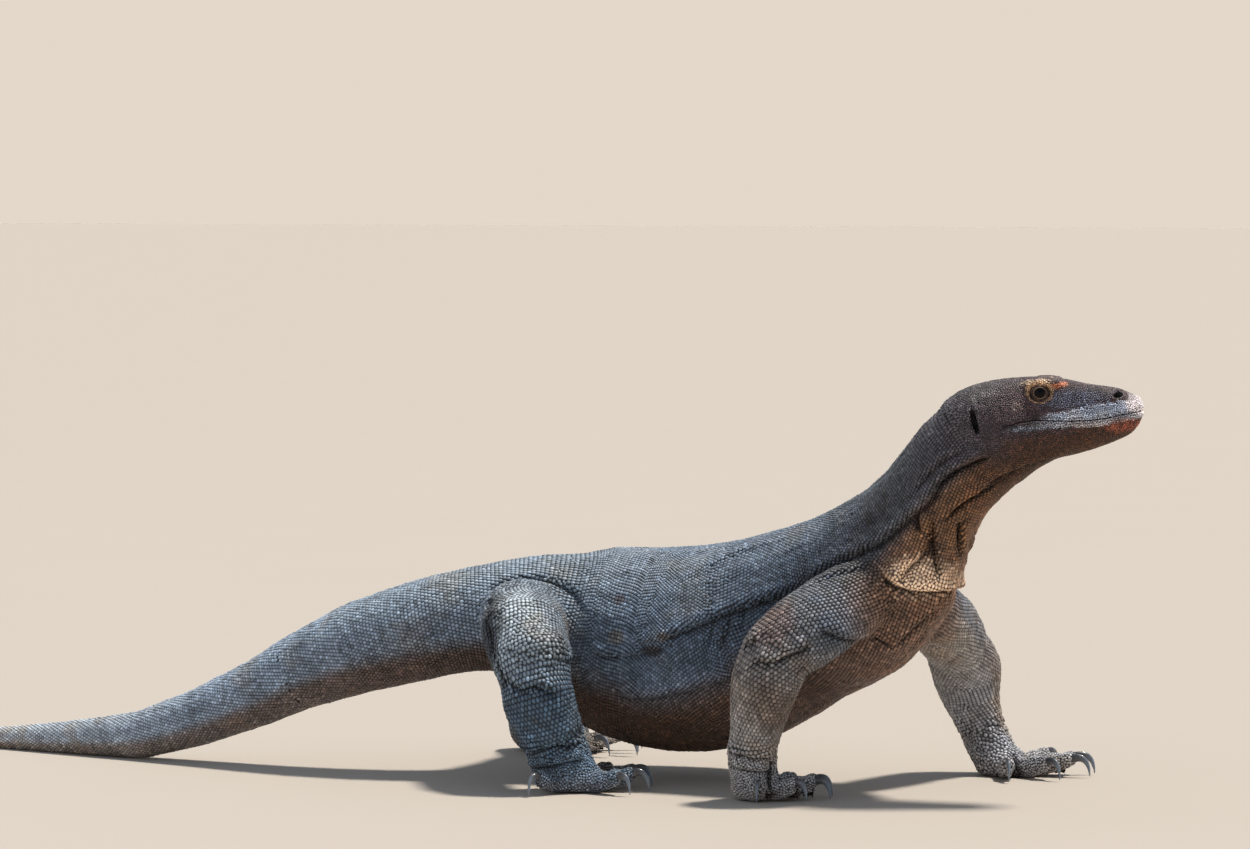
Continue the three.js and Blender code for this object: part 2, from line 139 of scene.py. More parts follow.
def drift(points: Array, scale: float, seed: float = 0.0) -> Array:
    """A smooth wandering value between about -1 and 1.

    Args:
        points: The places, one row each.
        scale: The size of a wave, in metres.
        seed: Shifts the waves, so that two uses differ.

    Returns:
        One value for each place.
    """
    turned = points / scale * math.tau
    x, y, z = turned[:, 0] + seed, turned[:, 1] + 1.7 * seed, turned[:, 2] + 2.3 * seed
    first = np.sin(x + 1.3 * np.sin(0.7 * y + 0.4 * z)) * np.cos(0.8 * y - 0.5 * z)
    second = np.sin(1.9 * z + 0.6 * x + seed) * np.sin(1.3 * y - 0.9 * x)
    return 0.6 * first + 0.4 * second


# ---- meshes


def points_of(mesh: Mesh) -> Array:
    """Reads a mesh's points as rows."""
    flat = np.empty(len(mesh.vertices) * 3)
    mesh.vertices.foreach_get("co", flat)
    return flat.reshape(-1, 3)


def normals_of(mesh: Mesh) -> Array:
    """Reads a mesh's point normals as rows."""
    flat = np.empty(len(mesh.vertices) * 3)
    mesh.vertex_normals.foreach_get("vector", flat)
    return flat.reshape(-1, 3)


def place(mesh: Mesh, points: Array) -> None:
    """Moves a mesh's points to these rows."""
    mesh.vertices.foreach_set("co", points.ravel())
    mesh.update()


def edges_of(mesh: Mesh) -> Array:
    """Reads a mesh's edges as rows of two point numbers."""
    flat = np.empty(len(mesh.edges) * 2, np.int64)
    mesh.edges.foreach_get("vertices", flat)
    return flat.reshape(-1, 2)


def write_attribute(mesh: Mesh, name: str, values: Array) -> None:
    """Writes a number or a colour for each point of a mesh.

    Args:
        mesh: The mesh.
        name: The attribute's name, which materials read.
        values: One number, or one row of three colour values, for each point.
    """
    if values.ndim == 1:
        layer = mesh.attributes.new(name, "FLOAT", "POINT")
        layer.data.foreach_set("value", values.astype(np.float32))
        return
    layer = mesh.attributes.new(name, "FLOAT_COLOR", "POINT")
    full = np.ones((len(values), 4), np.float32)
    full[:, :3] = values
    layer.data.foreach_set("color", full.ravel())


def piece_from(name: str, mesh: Mesh, material: Material) -> bpy.types.Object:
    """Makes a finished mesh a piece of the model.

    Args:
        name: The piece's name.
        mesh: Its mesh, already in place.
        material: Its finish.

    Returns:
        The piece, riding on the body.
    """
    mesh.name = name
    mesh.materials.clear()
    mesh.materials.append(material)
    mesh.shade_smooth()
    piece = put(name, mesh)
    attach(piece, "root")
    LOG.info("%s: %d faces", name, len(mesh.polygons))
    return piece


def put(name: str, data: bpy.types.ID) -> bpy.types.Object:
    """Puts an object that holds this data in the scene."""
    made = bpy.data.objects.new(name, data)
    bpy.context.scene.collection.objects.link(made)
    return made


def applied(holder: bpy.types.Object) -> Mesh:
    """Gives an object's mesh as its modifiers leave it, and removes the object."""
    graph = bpy.context.evaluated_depsgraph_get()
    mesh = bpy.data.meshes.new_from_object(holder.evaluated_get(graph))
    bpy.data.objects.remove(holder)
    return mesh


def search_tree(spots: Array) -> KDTree:
    """Gathers spots into a tree that finds the nearest of them."""
    tree = KDTree(len(spots))
    for number, spot in enumerate(spots):
        tree.insert(spot, number)
    tree.balance()
    return tree


def mesh_from(shape: bmesh.types.BMesh, name: str) -> Mesh:
    """Writes a bmesh to a new mesh and frees it."""
    mesh = bpy.data.meshes.new(name)
    shape.to_mesh(mesh)
    shape.free()
    return mesh


# ---- anatomy


class Solids:
    """The surface of some of the frame's nodes, which can be met by rays and asked which node is nearest."""

    def __init__(self, names: Sequence[str]) -> None:
        """Gathers the nodes' faces into one search tree."""
        corners: list[Vector] = []
        faces: list[list[int]] = []
        self.owners: list[str] = []
        for name in names:
            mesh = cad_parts[name].data
            first = len(corners)
            corners.extend(vertex.co.copy() for vertex in mesh.vertices)
            faces.extend([first + corner for corner in polygon.vertices] for polygon in mesh.polygons)
            self.owners.extend([name] * len(mesh.polygons))
        self.tree = BVHTree.FromPolygons(corners, faces)

    def owner(self, point: Sequence[float]) -> str:
        """Names the node nearest to a point."""
        return self.owners[self.tree.find_nearest(point)[2]]

    def owners_of(self, points: Array) -> Array:
        """Names the nearest node for each row of points."""
        return np.array([self.owner(point) for point in points])


def node_points(name: str) -> Array:
    """Reads a CAD node's points as rows."""
    return points_of(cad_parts[name].data)


def joint_between(upper: str, lower: str) -> Array:
    """Finds the middle of the cut between two nodes.

    Args:
        upper: One node.
        lower: Its neighbour.

    Returns:
        The mean of the first node's points that lie on the cut.
    """
    reach = 1.5 * MM
    neighbour = Solids((lower,)).tree
    points = np.unique(node_points(upper).round(5), axis=0)
    near = [point for point in points if neighbour.find_nearest(point, reach)[0] is not None]
    return np.mean(near, axis=0)


def farthest(name: str, start: Array) -> Array:
    """Finds the point of a node that is farthest from a start."""
    points = node_points(name)
    return points[np.argmax(np.linalg.norm(points - start, axis=1))]


class Track:
    """A smooth line through the middle of the body or of a limb, with an upright frame at each station."""

    STEP = 8 * MM
    SPOKES = 12
    REACH = 0.2
    PASSES = 3

    def __init__(self, waypoints: Sequence[Array], solids: Solids, dorsal: Vector) -> None:
        """Runs a line through waypoints and centres it in the solids.

        Args:
            waypoints: Places that the line passes near, in order.
            solids: The nodes whose middle the line follows.
            dorsal: The direction from which angles round the line are counted.
        """
        self.solids = solids
        self.dorsal = np.array(dorsal)
        self._resample(np.array(waypoints, float))
        for _ in range(self.PASSES):
            self._centre()
            self._resample(self._eased(self.points))

    def _resample(self, corners: Array) -> None:
        """Spaces the stations evenly along a line of corners, and sets their frames."""
        spans = np.linalg.norm(np.diff(corners, axis=0), axis=1)
        along = np.concatenate(([0.0], np.cumsum(spans)))
        count = max(4, round(along[-1] / self.STEP))
        self.lengths = np.linspace(0.0, along[-1], count + 1)
        self.points = np.stack([np.interp(self.lengths, along, corners[:, axis]) for axis in range(3)], 1)
        self.tangents = unit(self._eased(np.gradient(self.points, axis=0)))
        ups = self.dorsal - self.tangents * (self.tangents @ self.dorsal)[:, None]
        self.ups = unit(ups)
        self.lefts = np.cross(self.ups, self.tangents)

    def _eased(self, rows: Array) -> Array:
        """Evens out rows along the line and keeps the two ends."""
        eased = rows.copy()
        for _ in range(12):
            eased[1:-1] = (eased[:-2] + 2.0 * eased[1:-1] + eased[2:]) / 4.0
        return eased

    def _centre(self) -> None:
        """Moves each station to the middle of its cross-section."""
        moved = self.points.copy()
        for station in range(2, len(moved) - 2):
            shift = np.zeros(3)
            for spoke in range(self.SPOKES):
                angle = math.pi * spoke / self.SPOKES
                way = self.ups[station] * math.cos(angle) + self.lefts[station] * math.sin(angle)
                ahead = self.solids.tree.ray_cast(moved[station], way, self.REACH)[3]
                behind = self.solids.tree.ray_cast(moved[station], -way, self.REACH)[3]
                if ahead is not None and behind is not None:
                    shift += way * (ahead - behind) / self.SPOKES
            moved[station] += shift
        self.points = moved

    def frame_at(self, length: float) -> tuple[Array, Array, Array, Array]:
        """Gives the middle, the tangent, up and left at a length along the line."""
        rows = (self.points, self.tangents, self.ups, self.lefts)
        found = [
            np.array([np.interp(length, self.lengths, row[:, axis]) for axis in range(3)]) for row in rows
        ]
        return found[0], *(vector / np.linalg.norm(vector) for vector in found[1:])

    def measure(self, points: Array) -> tuple[Array, Array, Array]:
        """Finds where points lie along and round the line.

        Args:
            points: The places, one row each.

        Returns:
            The length along the line, the angle from its top, positive to the left, and the tangent there.
        """
        nearest = np.concatenate([
            np.argmin(np.linalg.norm(block[:, None, :] - self.points[None], axis=2), axis=1)
            for block in np.array_split(points, max(1, len(points) // 8000))
        ])
        away = points - self.points[nearest]
        tangents = self.tangents[nearest]
        length = self.lengths[nearest] + np.clip((away * tangents).sum(1), -self.STEP, self.STEP)
        up, left = (away * self.ups[nearest]).sum(1), (away * self.lefts[nearest]).sum(1)
        return length, np.arctan2(left, up), tangents

    def length_near(self, point: Array) -> float:
        """Finds the length along the line that is nearest to a point."""
        return float(self.measure(point[None])[0][0])


class HeadFrame:
    """The head's own directions: back from the snout, to the left, and height above the snout's tip."""

    PITCH = math.radians(5.0)
    EYE_BACK = 119 * MM
    EYE_HEIGHT = 29 * MM

    def __init__(self) -> None:
        """Places the frame by the two eyes."""
        right, left = (sum(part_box(f"eye_{side}"), Vector()) / 2 for side in SIDES)
        self.left = (left - right).normalized()
        level = self.left.cross(UP)
        self.forward = level * math.cos(self.PITCH) + UP * math.sin(self.PITCH)
        self.height = self.forward.cross(self.left)
        self.origin = (left + right) / 2 + self.forward * self.EYE_BACK - self.height * self.EYE_HEIGHT

    def at(self, back: float, side: float, height: float) -> Vector:
        """Gives the place at these distances back, left and up."""
        return self.origin - self.forward * back + self.left * side + self.height * height

    def measure(self, points: Array) -> tuple[Array, Array, Array]:
        """Gives how far back, to the left and up each point is."""
        away = points - np.array(self.origin)
        return -(away @ np.array(self.forward)), away @ np.array(self.left), away @ np.array(self.height)

    def offset(self, back: Array, side: Array, height: Array) -> Array:
        """Turns distances back, left and up into a shift of the body's own axes."""
        return (np.outer(side, self.left) + np.outer(height, self.height) - np.outer(back, self.forward))


class Anatomy:
    """The lines and frames that skin, coat and markings share."""

    def __init__(self) -> None:
        """Fits the lines of the spine and of the four limbs in the frame's solids."""
        self.flesh = Solids(FLESH)
        self.head = HeadFrame()
        order = (*TAIL, *TRUNK, "neck", "head")
        joints = [joint_between(a, b) for a, b in zip(order, order[1:])]
        ends = farthest("tail_tip", joints[0]), farthest("head", joints[-1])
        self.spine = Track((ends[0], *joints, ends[1]), Solids(SPINE), UP)
        self.limbs = {key: self._limb(*key) for key in LIMBS}
        middles = {name: np.mean(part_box(name), axis=0) for name in order}
        self.stations = {name: self.spine.length_near(middle) for name, middle in middles.items()}
        LOG.info("spine %.3f m long", self.spine.lengths[-1])

    def _limb(self, kind: str, side: str) -> Track:
        """Fits the line of one leg, from its socket to the middle of its foot."""
        upper, lower, foot = LIMBS[kind, side]
        socket = joint_between(upper, "chest" if kind == "fore" else "hips")
        low, high = (np.array(corner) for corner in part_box(foot))
        sole = (low + high) / 2
        points = (socket, joint_between(upper, lower), joint_between(lower, foot), sole)
        outward = Vector((0.0, SIDES[side], 0.0))
        return Track(points, Solids((upper, lower, foot)), outward)


@dataclass
class Claw:
    """One hooked claw of horn, from inside the toe's end to its tip."""

    node: str
    segments: int = 14
    rings: int = 12
    inset: float = 3.5 * MM
    flatness: float = 0.70
    thickness: float = 1.18
    blunt: float = 0.09

    def mesh(self) -> Mesh:
        """Bends a ringed cylinder along the claw's arc."""
        shape = bmesh.new()
        along = shape.verts.layers.float.new("along")
        bmesh.ops.create_cone(
            shape, cap_ends=True, segments=self.segments, radius1=1.0, radius2=1.0, depth=1.0)
        upright = [edge for edge in shape.edges if abs(edge.verts[0].co.z - edge.verts[1].co.z) > 0.5]
        bmesh.ops.subdivide_edges(shape, edges=upright, cuts=self.rings - 1)
        start, control, tip, way, radius = self.arc()
        beside = way.cross(UP)
        for vertex in shape.verts:
            share = vertex.co.z + 0.5
            here = start.lerp(control, share).lerp(control.lerp(tip, share), share)
            ahead = ((control - start) * (1.0 - share) + (tip - control) * share).normalized()
            over = beside.cross(ahead)
            thick = radius * (self.blunt + (1.0 - self.blunt) * (1.0 - share**1.35) ** 0.9)
            vertex[along] = share
            vertex.co = here + beside * (vertex.co.x * thick * self.flatness) + over * (vertex.co.y * thick)
        bmesh.ops.recalc_face_normals(shape, faces=shape.faces)
        return mesh_from(shape, "claw")

    def arc(self) -> tuple[Vector, Vector, Vector, Vector, float]:
        """Gives the arc's start, control and tip, the way back along the toe, and the claw's thickness."""
        points = np.unique(node_points(self.node).round(6), axis=0)
        tip = Vector(points[np.argmin(points[:, 2])])
        way = Vector(points.mean(0)) - tip
        way.z = 0.0
        way.normalize()
        reach = points @ np.array(way)
        base = points[reach > reach.max() - 0.6 * MM]
        root = Vector(base.mean(0))
        radius = self.thickness * float(np.linalg.norm(base - np.array(root), axis=1).mean())
        control = Vector((tip.x, tip.y, root.z * 1.38)) + way * 1.5 * MM
        return root + way * self.inset, control, tip + UP * 0.5 * MM, way, radius


# ---- the forms folded into the skin


class View(Enum):
    """How the corners of a line on the skin are given."""

    SIDE = "distance ahead and height, as seen from the side"
    HEAD = "distance back from the snout and height, as seen from the head's side"


@dataclass(frozen=True)
class Fold:
    """A fold along a line on the body: a crest that slopes up to it and a crease below it.

    Its crest, crease and width are in millimetres, as are the corners of a line on the head.
    """

    LEAP = 0.10

    corners: tuple[tuple[float, float], ...]
    crest: float
    crease: float
    width: float
    view: View = View.SIDE
    sides: tuple[float, ...] = (-1.0, 1.0)
    fade: float = 0.25

    def lines(self, anatomy: Anatomy, tree: BVHTree) -> Iterator[Array]:
        """Lays the line on each side of the skin.

        Args:
            anatomy: The head frame, for lines on the head.
            tree: The skin's search tree.

        Yields:
            The line's points, one row each.
        """
        away = 0.6
        for side in self.sides:
            found = []
            for first, second in self._even():
                if self.view is View.SIDE:
                    start, way = Vector((first, side * away, second)), Vector((0.0, -side, 0.0))
                else:
                    start, way = anatomy.head.at(first, side * away, second), -side * anatomy.head.left
                spot = tree.ray_cast(start, way)[0]
                if spot is not None and (not found or (spot - found[-1]).length < self.LEAP):
                    found.append(spot)
            if len(found) > 1:
                yield np.array(found)

    def _even(self) -> Iterator[tuple[float, float]]:
        """Rounds the line's corners and spaces its points evenly."""
        corners = np.array(self.corners, float) * (MM if self.view is View.HEAD else 1.0)
        for _ in range(2):
            ahead = corners[:-1] * 0.75 + corners[1:] * 0.25
            behind = corners[:-1] * 0.25 + corners[1:] * 0.75
            middle = np.stack([ahead, behind], 1).reshape(-1, 2)
            corners = np.vstack([corners[:1], middle, corners[-1:]])
        return map(tuple, corners)

    def height_at(self, points: Array, line: Array) -> Array:
        """Gives how far the fold lifts or lowers the skin.

        Args:
            points: The skin's points.
            line: The fold's line on one side.

        Returns:
            One height for each point.
        """
        crest, crease, width = self.crest * MM, self.crease * MM, self.width * MM
        heights = np.zeros(len(points))
        reach = 3.0 * width
        near = ((points > line.min(0) - reach) & (points < line.max(0) + reach)).all(1)
        spots = points[near]
        if not len(spots):
            return heights
        starts, steps = line[:-1], np.diff(line, axis=0)
        away = spots[:, None, :] - starts[None]
        share = np.clip((away * steps).sum(2) / (steps**2).sum(1), 0.0, 1.0)
        gaps = away - share[:, :, None] * steps
        distance = np.linalg.norm(gaps, axis=2)
        best = np.argmin(distance, axis=1)
        rows = np.arange(len(spots))
        below = np.where(gaps[rows, best, 2] < 0.0, 1.0, -1.0) * distance[rows, best]
        along = (best + share[rows, best]) / len(steps)
        ends = smoothstep(0.0, self.fade, along) * smoothstep(0.0, self.fade, 1.0 - along)
        slope = np.where(below < 0.0, 1.5 * width, 0.45 * width)
        wander = 1.0 + 0.18 * drift(spots, 5.0 * width, 2.0)
        groove = bump_of(below - 0.80 * width, 0.42 * width) + 0.25 * bump_of(below - width, width)
        heights[near] = (crest * bump_of(below, slope) - crease * groove) * ends * wander
        return heights


@dataclass(frozen=True)
class Wrinkles:
    """Fine parallel creases over a patch of skin, their spacing and depth in millimetres."""

    middle: tuple[float, float, float]
    radii: tuple[float, float, float]
    across: tuple[float, float, float]
    spacing: float
    depth: float

    def weight_at(self, points: Array) -> Array:
        """Gives how strong the creases are at each point, 1 in the patch's middle."""
        away = (points - np.array(self.middle)) / np.array(self.radii)
        return 1.0 - smoothstep(0.45, 1.0, np.linalg.norm(away, axis=1))

    def height_at(self, points: Array) -> Array:
        """Gives how far the creases lower the skin at each point."""
        spacing = self.spacing * MM
        weight = self.weight_at(points)
        heights = np.zeros(len(points))
        inside = weight > 0.0
        spots = points[inside]
        way = np.array(self.across) / np.linalg.norm(self.across)
        phase = spots @ way / spacing + 0.55 * drift(spots, 9.0 * spacing, spacing / MM)
        creases = np.maximum(np.cos(phase * math.tau), 0.0) ** 2
        wander = 0.65 + 0.35 * drift(spots, 6.0 * spacing, 3.0)
        heights[inside] = -self.depth * MM * creases * wander * weight[inside]
        return heights


@dataclass(frozen=True)
class Muscle:
    """A swelling on the legs of one kind, or a hollow if its height is negative.

    Its place is a share of the leg's length and an angle round it, and its own sizes are in millimetres.
    """

    kind: str
    along: float
    turn: float
    half_length: float
    half_turn: float
    height: float

    def height_at(self, lengths: Array, turns: Array, whole: float) -> Array:
        """Gives how far the muscle lifts the skin.

        Args:
            lengths: The points' lengths along the leg.
            turns: Their angles from outwards towards the front.
            whole: The leg's whole length.

        Returns:
            One height for each point.
        """
        away = (lengths - self.along * whole) / (self.half_length * MM)
        turned = np.angle(np.exp(1j * (turns - math.radians(self.turn)))) / math.radians(self.half_turn)
        return self.height * MM * np.exp(-(away**2) - turned**2)


@dataclass
class Toes:
    """The toes of one foot, which spread from the middle of its sole and part at clefts."""

    PARTING = {"fore": (0.24, 0.50), "hind": (0.50, 0.74)}

    kind: str
    side: str
    cleft: float = 3.4 * MM
    depth: float = 0.84
    notch: float = 0.42
    knuckle: float = 2.6 * MM

    def __post_init__(self) -> None:
        """Finds the middle from which the claws point, and each toe's bearing and reach."""
        arcs = [Claw(node).arc() for node in claw_nodes(self.kind, self.side)]
        roots = np.array([arc[0][:2] for arc in arcs])
        ways = np.array([arc[3][:2] for arc in arcs])
        across = np.eye(2) - ways[:, :, None] * ways[:, None, :]
        self.middle = np.linalg.solve(across.sum(0), (across @ roots[:, :, None]).sum(0)).ravel()
        away = roots - self.middle
        order = np.argsort(np.arctan2(away[:, 1], away[:, 0]))
        self.bearings = np.arctan2(away[order, 1], away[order, 0])
        self.reaches = np.hypot(*away[order].T)

    def shape(self, points: Array, normals: Array) -> Array:
        """Sinks the clefts between the toes and raises their knuckles.

        Args:
            points: The skin's points.
            normals: Their normals.

        Returns:
            The moved points.
        """
        away = points[:, :2] - self.middle
        near = (np.hypot(*away.T) < 1.25 * self.reaches.max()) & (points[:, 2] < 50.0 * MM)
        far, bearing = np.hypot(*away[near].T), np.arctan2(away[near, 1], away[near, 0])
        spots, facing = points[near].copy(), normals[near]
        on_top = smoothstep(-0.1, 0.3, facing[:, 2])
        lift = np.zeros(len(spots))
        for turn, reach in zip(self.bearings, self.reaches):
            aside = far * np.angle(np.exp(1j * (bearing - turn)))
            for share, height in ((0.40, 0.3), (0.68, 1.0), (0.98, 0.55), (0.54, -0.5), (0.84, -0.35)):
                knuckle = height * self.knuckle * bump_of(far - share * reach, 0.085 * reach)
                lift += knuckle * bump_of(aside, 8.0 * MM)
        sink = np.zeros(len(spots))
        for first, second, near_reach, far_reach in zip(
                self.bearings, self.bearings[1:], self.reaches, self.reaches[1:]):
            reach = min(near_reach, far_reach)
            aside = far * np.angle(np.exp(1j * (bearing - 0.5 * (first + second))))
            open_below = self.cleft * (0.8 + 1.2 * (1.0 - on_top) * smoothstep(0.055, 0.010, spots[:, 2]))
            begins = smoothstep(*self.PARTING[self.kind], far / reach)
            sink = np.maximum(sink, np.exp(-((aside / open_below) ** 2)) * begins)
        spots += facing * (lift * on_top)[:, None]
        spots[:, 2] *= 1.0 - self.depth * sink * on_top
        spots[:, :2] -= away[near] * (self.notch * sink * (1.0 - on_top))[:, None]
        moved = points.copy()
        moved[near] = spots
        return moved


MUSCLES = (
    Muscle("fore", 0.24, -8.0, 34, 52.0, 5.0),
    Muscle("fore", 0.30, -95.0, 34, 45.0, 4.0),
    Muscle("fore", 0.43, 50.0, 12, 75.0, -5.0),
    Muscle("fore", 0.47, -80.0, 15, 40.0, 3.5),
    Muscle("fore", 0.57, 25.0, 24, 55.0, 5.2),
    Muscle("fore", 0.60, -110.0, 26, 45.0, 2.6),
    Muscle("fore", 0.76, 0.0, 16, 120.0, -2.2),
    Muscle("fore", 0.86, -70.0, 9, 50.0, 3.2),
    Muscle("hind", 0.28, 15.0, 44, 42.0, 6.0),
    Muscle("hind", 0.34, -75.0, 34, 40.0, 4.0),
    Muscle("hind", 0.46, 55.0, 20, 45.0, 6.0),
    Muscle("hind", 0.555, 10.0, 13, 80.0, -2.6),
    Muscle("hind", 0.66, -70.0, 26, 46.0, 5.4),
    Muscle("hind", 0.67, 45.0, 26, 40.0, 3.0),
    Muscle("hind", 0.78, 40.0, 7, 90.0, 2.6),
    Muscle("hind", 0.83, 40.0, 7, 90.0, -4.2),
)

FOLDS = (
    # the long folds that hang from the armpit back along the flank
    Fold(((0.590, 0.262), (0.561, 0.247), (0.502, 0.228), (0.452, 0.208), (0.385, 0.181), (0.345, 0.178)),
         6.0, 4.2, 9.0, fade=0.35),
    Fold(((0.570, 0.198), (0.478, 0.176), (0.446, 0.165), (0.395, 0.152), (0.350, 0.150)),
         5.0, 3.4, 8.5, fade=0.35),
    Fold(((0.520, 0.152), (0.444, 0.129), (0.384, 0.113), (0.340, 0.115), (0.288, 0.137)),
         4.5, 2.0, 10.0),
    Fold(((0.420, 0.182), (0.380, 0.168), (0.330, 0.160), (0.295, 0.165)), 2.6, 2.6, 6.0),
    # short pleats between the two long folds
    Fold(((0.501, 0.222), (0.499, 0.181)), 1.8, 2.6, 5.5),
    Fold(((0.484, 0.214), (0.477, 0.178)), 1.8, 2.6, 5.5),
    Fold(((0.463, 0.202), (0.455, 0.168)), 1.6, 2.4, 5.5),
    # a soft swell that runs down the back towards the hips
    Fold(((0.528, 0.300), (0.480, 0.288), (0.440, 0.268), (0.405, 0.250)), 2.6, 0.8, 15.0),
    # the crease over the thigh, and the one behind it
    Fold(((0.296, 0.208), (0.284, 0.226), (0.262, 0.242), (0.225, 0.252), (0.183, 0.250), (0.150, 0.230)),
         1.6, 3.6, 7.0, fade=0.3),
    Fold(((0.187, 0.232), (0.207, 0.208), (0.225, 0.180), (0.240, 0.152), (0.252, 0.128)),
         2.0, 7.5, 9.0, sides=(-1.0,)),
    # the shoulder's ridges, which climb the side of the neck
    Fold(((0.590, 0.262), (0.618, 0.282), (0.654, 0.298), (0.687, 0.313), (0.713, 0.336), (0.741, 0.356),
          (0.760, 0.382)), 5.0, 5.0, 9.0, fade=0.12),
    Fold(((0.600, 0.250), (0.625, 0.268), (0.655, 0.276), (0.690, 0.292)), 2.4, 1.8, 8.0),
    # the loose skin of the throat, and the collar under it
    Fold(((0.740, 0.345), (0.744, 0.318), (0.738, 0.298), (0.716, 0.280), (0.706, 0.266)),
         5.0, 5.0, 8.0, fade=0.15),
    Fold(((0.696, 0.272), (0.712, 0.260), (0.732, 0.255), (0.764, 0.255)),
         6.5, 5.5, 8.0, fade=0.1),
    Fold(((0.765, 0.245), (0.735, 0.224), (0.708, 0.200), (0.690, 0.184)), 3.2, 4.6, 8.0,
         sides=(-1.0,)),
    # folds from the corner of the jaw down the neck
    Fold(((98, -45), (126, -48), (152, -54), (176, -60),
          (206, -80)), 3.8, 6.5, 5.6, View.HEAD),
    Fold(((182, -36), (212, -44), (235, -54), (256, -72)),
         5.0, 8.0, 6.4, View.HEAD),
    Fold(((144, -52), (174, -68), (198, -79), (224, -90),
          (249, -112)), 4.8, 7.0, 6.0, View.HEAD),
    Fold(((216, -28), (236, -36), (258, -52), (276, -72)),
         2.6, 3.6, 6.0, View.HEAD),
    # upright pleats of the loose throat
    Fold(((0.757, 0.340), (0.756, 0.300), (0.758, 0.268)), 3.4, 6.0, 5.6),
    Fold(((0.786, 0.336), (0.776, 0.295), (0.774, 0.262)), 3.6, 7.0, 5.6),
    # where the upper arm leaves the chest
    Fold(((0.640, 0.214), (0.660, 0.202), (0.690, 0.190), (0.715, 0.172)), 2.6, 4.5, 7.0,
         sides=(-1.0,)),
    # inside the elbow, under the knee, and above the feet
    Fold(((0.630, 0.196), (0.612, 0.184), (0.588, 0.174), (0.566, 0.176)), 3.0, 5.0, 6.0,
         sides=(-1.0,)),
    Fold(((0.252, 0.150), (0.262, 0.130), (0.286, 0.139), (0.308, 0.127), (0.324, 0.110)),
         2.4, 3.4, 7.0, sides=(-1.0,)),
    Fold(((0.250, 0.056), (0.270, 0.053), (0.298, 0.059), (0.330, 0.064)), 3.0, 4.6, 5.0,
         sides=(-1.0,), fade=0.1),
    Fold(((0.250, 0.034), (0.272, 0.032), (0.300, 0.038), (0.334, 0.046)), 2.6, 4.0, 4.6,
         sides=(-1.0,), fade=0.1),
    Fold(((0.060, 0.056), (0.080, 0.053), (0.104, 0.057), (0.120, 0.060)), 2.0, 3.0, 4.6,
         sides=(1.0,), fade=0.1),
    Fold(((0.524, 0.062), (0.546, 0.059), (0.568, 0.056), (0.582, 0.058)), 2.6, 4.2, 4.6,
         sides=(-1.0,), fade=0.1),
    Fold(((0.524, 0.045), (0.545, 0.042), (0.566, 0.039), (0.580, 0.044)), 2.2, 3.6, 4.2,
         sides=(-1.0,), fade=0.1),
)

WRINKLES = (
    Wrinkles((0.40, -0.14, 0.165), (0.13, 0.06, 0.055), (0.25, 0.0, 1.0), 9.0, 1.4),
    Wrinkles((0.40, 0.11, 0.165), (0.13, 0.06, 0.055), (0.25, 0.0, 1.0), 9.0, 1.4),
    Wrinkles((0.745, -0.11, 0.330), (0.065, 0.10, 0.075), (1.0, 0.6, 0.5), 10.0, 2.2),
    Wrinkles((0.690, -0.11, 0.240), (0.060, 0.12, 0.035), (0.5, 0.0, 1.0), 9.0, 1.7),
    Wrinkles((0.295, -0.225, 0.056), (0.07, 0.07, 0.026), (-0.16, 0.0, 1.0), 9.0, 2.4),
    Wrinkles((0.115, 0.195, 0.056), (0.07, 0.07, 0.026), (-0.16, 0.0, 1.0), 9.0, 2.4),
    Wrinkles((0.555, -0.215, 0.062), (0.06, 0.06, 0.024), (0.1, 0.0, 1.0), 8.0, 2.4),
    Wrinkles((0.715, 0.155, 0.062), (0.06, 0.06, 0.026), (0.1, 0.0, 1.0), 8.0, 3.4),
    Wrinkles((0.612, -0.235, 0.195), (0.035, 0.05, 0.03), (0.55, 0.2, 1.0), 8.0, 2.0),
    Wrinkles((0.205, -0.205, 0.180), (0.035, 0.05, 0.05), (1.0, 0.6, 0.2), 8.0, 1.0),
    Wrinkles((0.700, 0.085, 0.150), (0.035, 0.05, 0.03), (0.3, 0.5, 1.0), 8.0, 1.8),
)


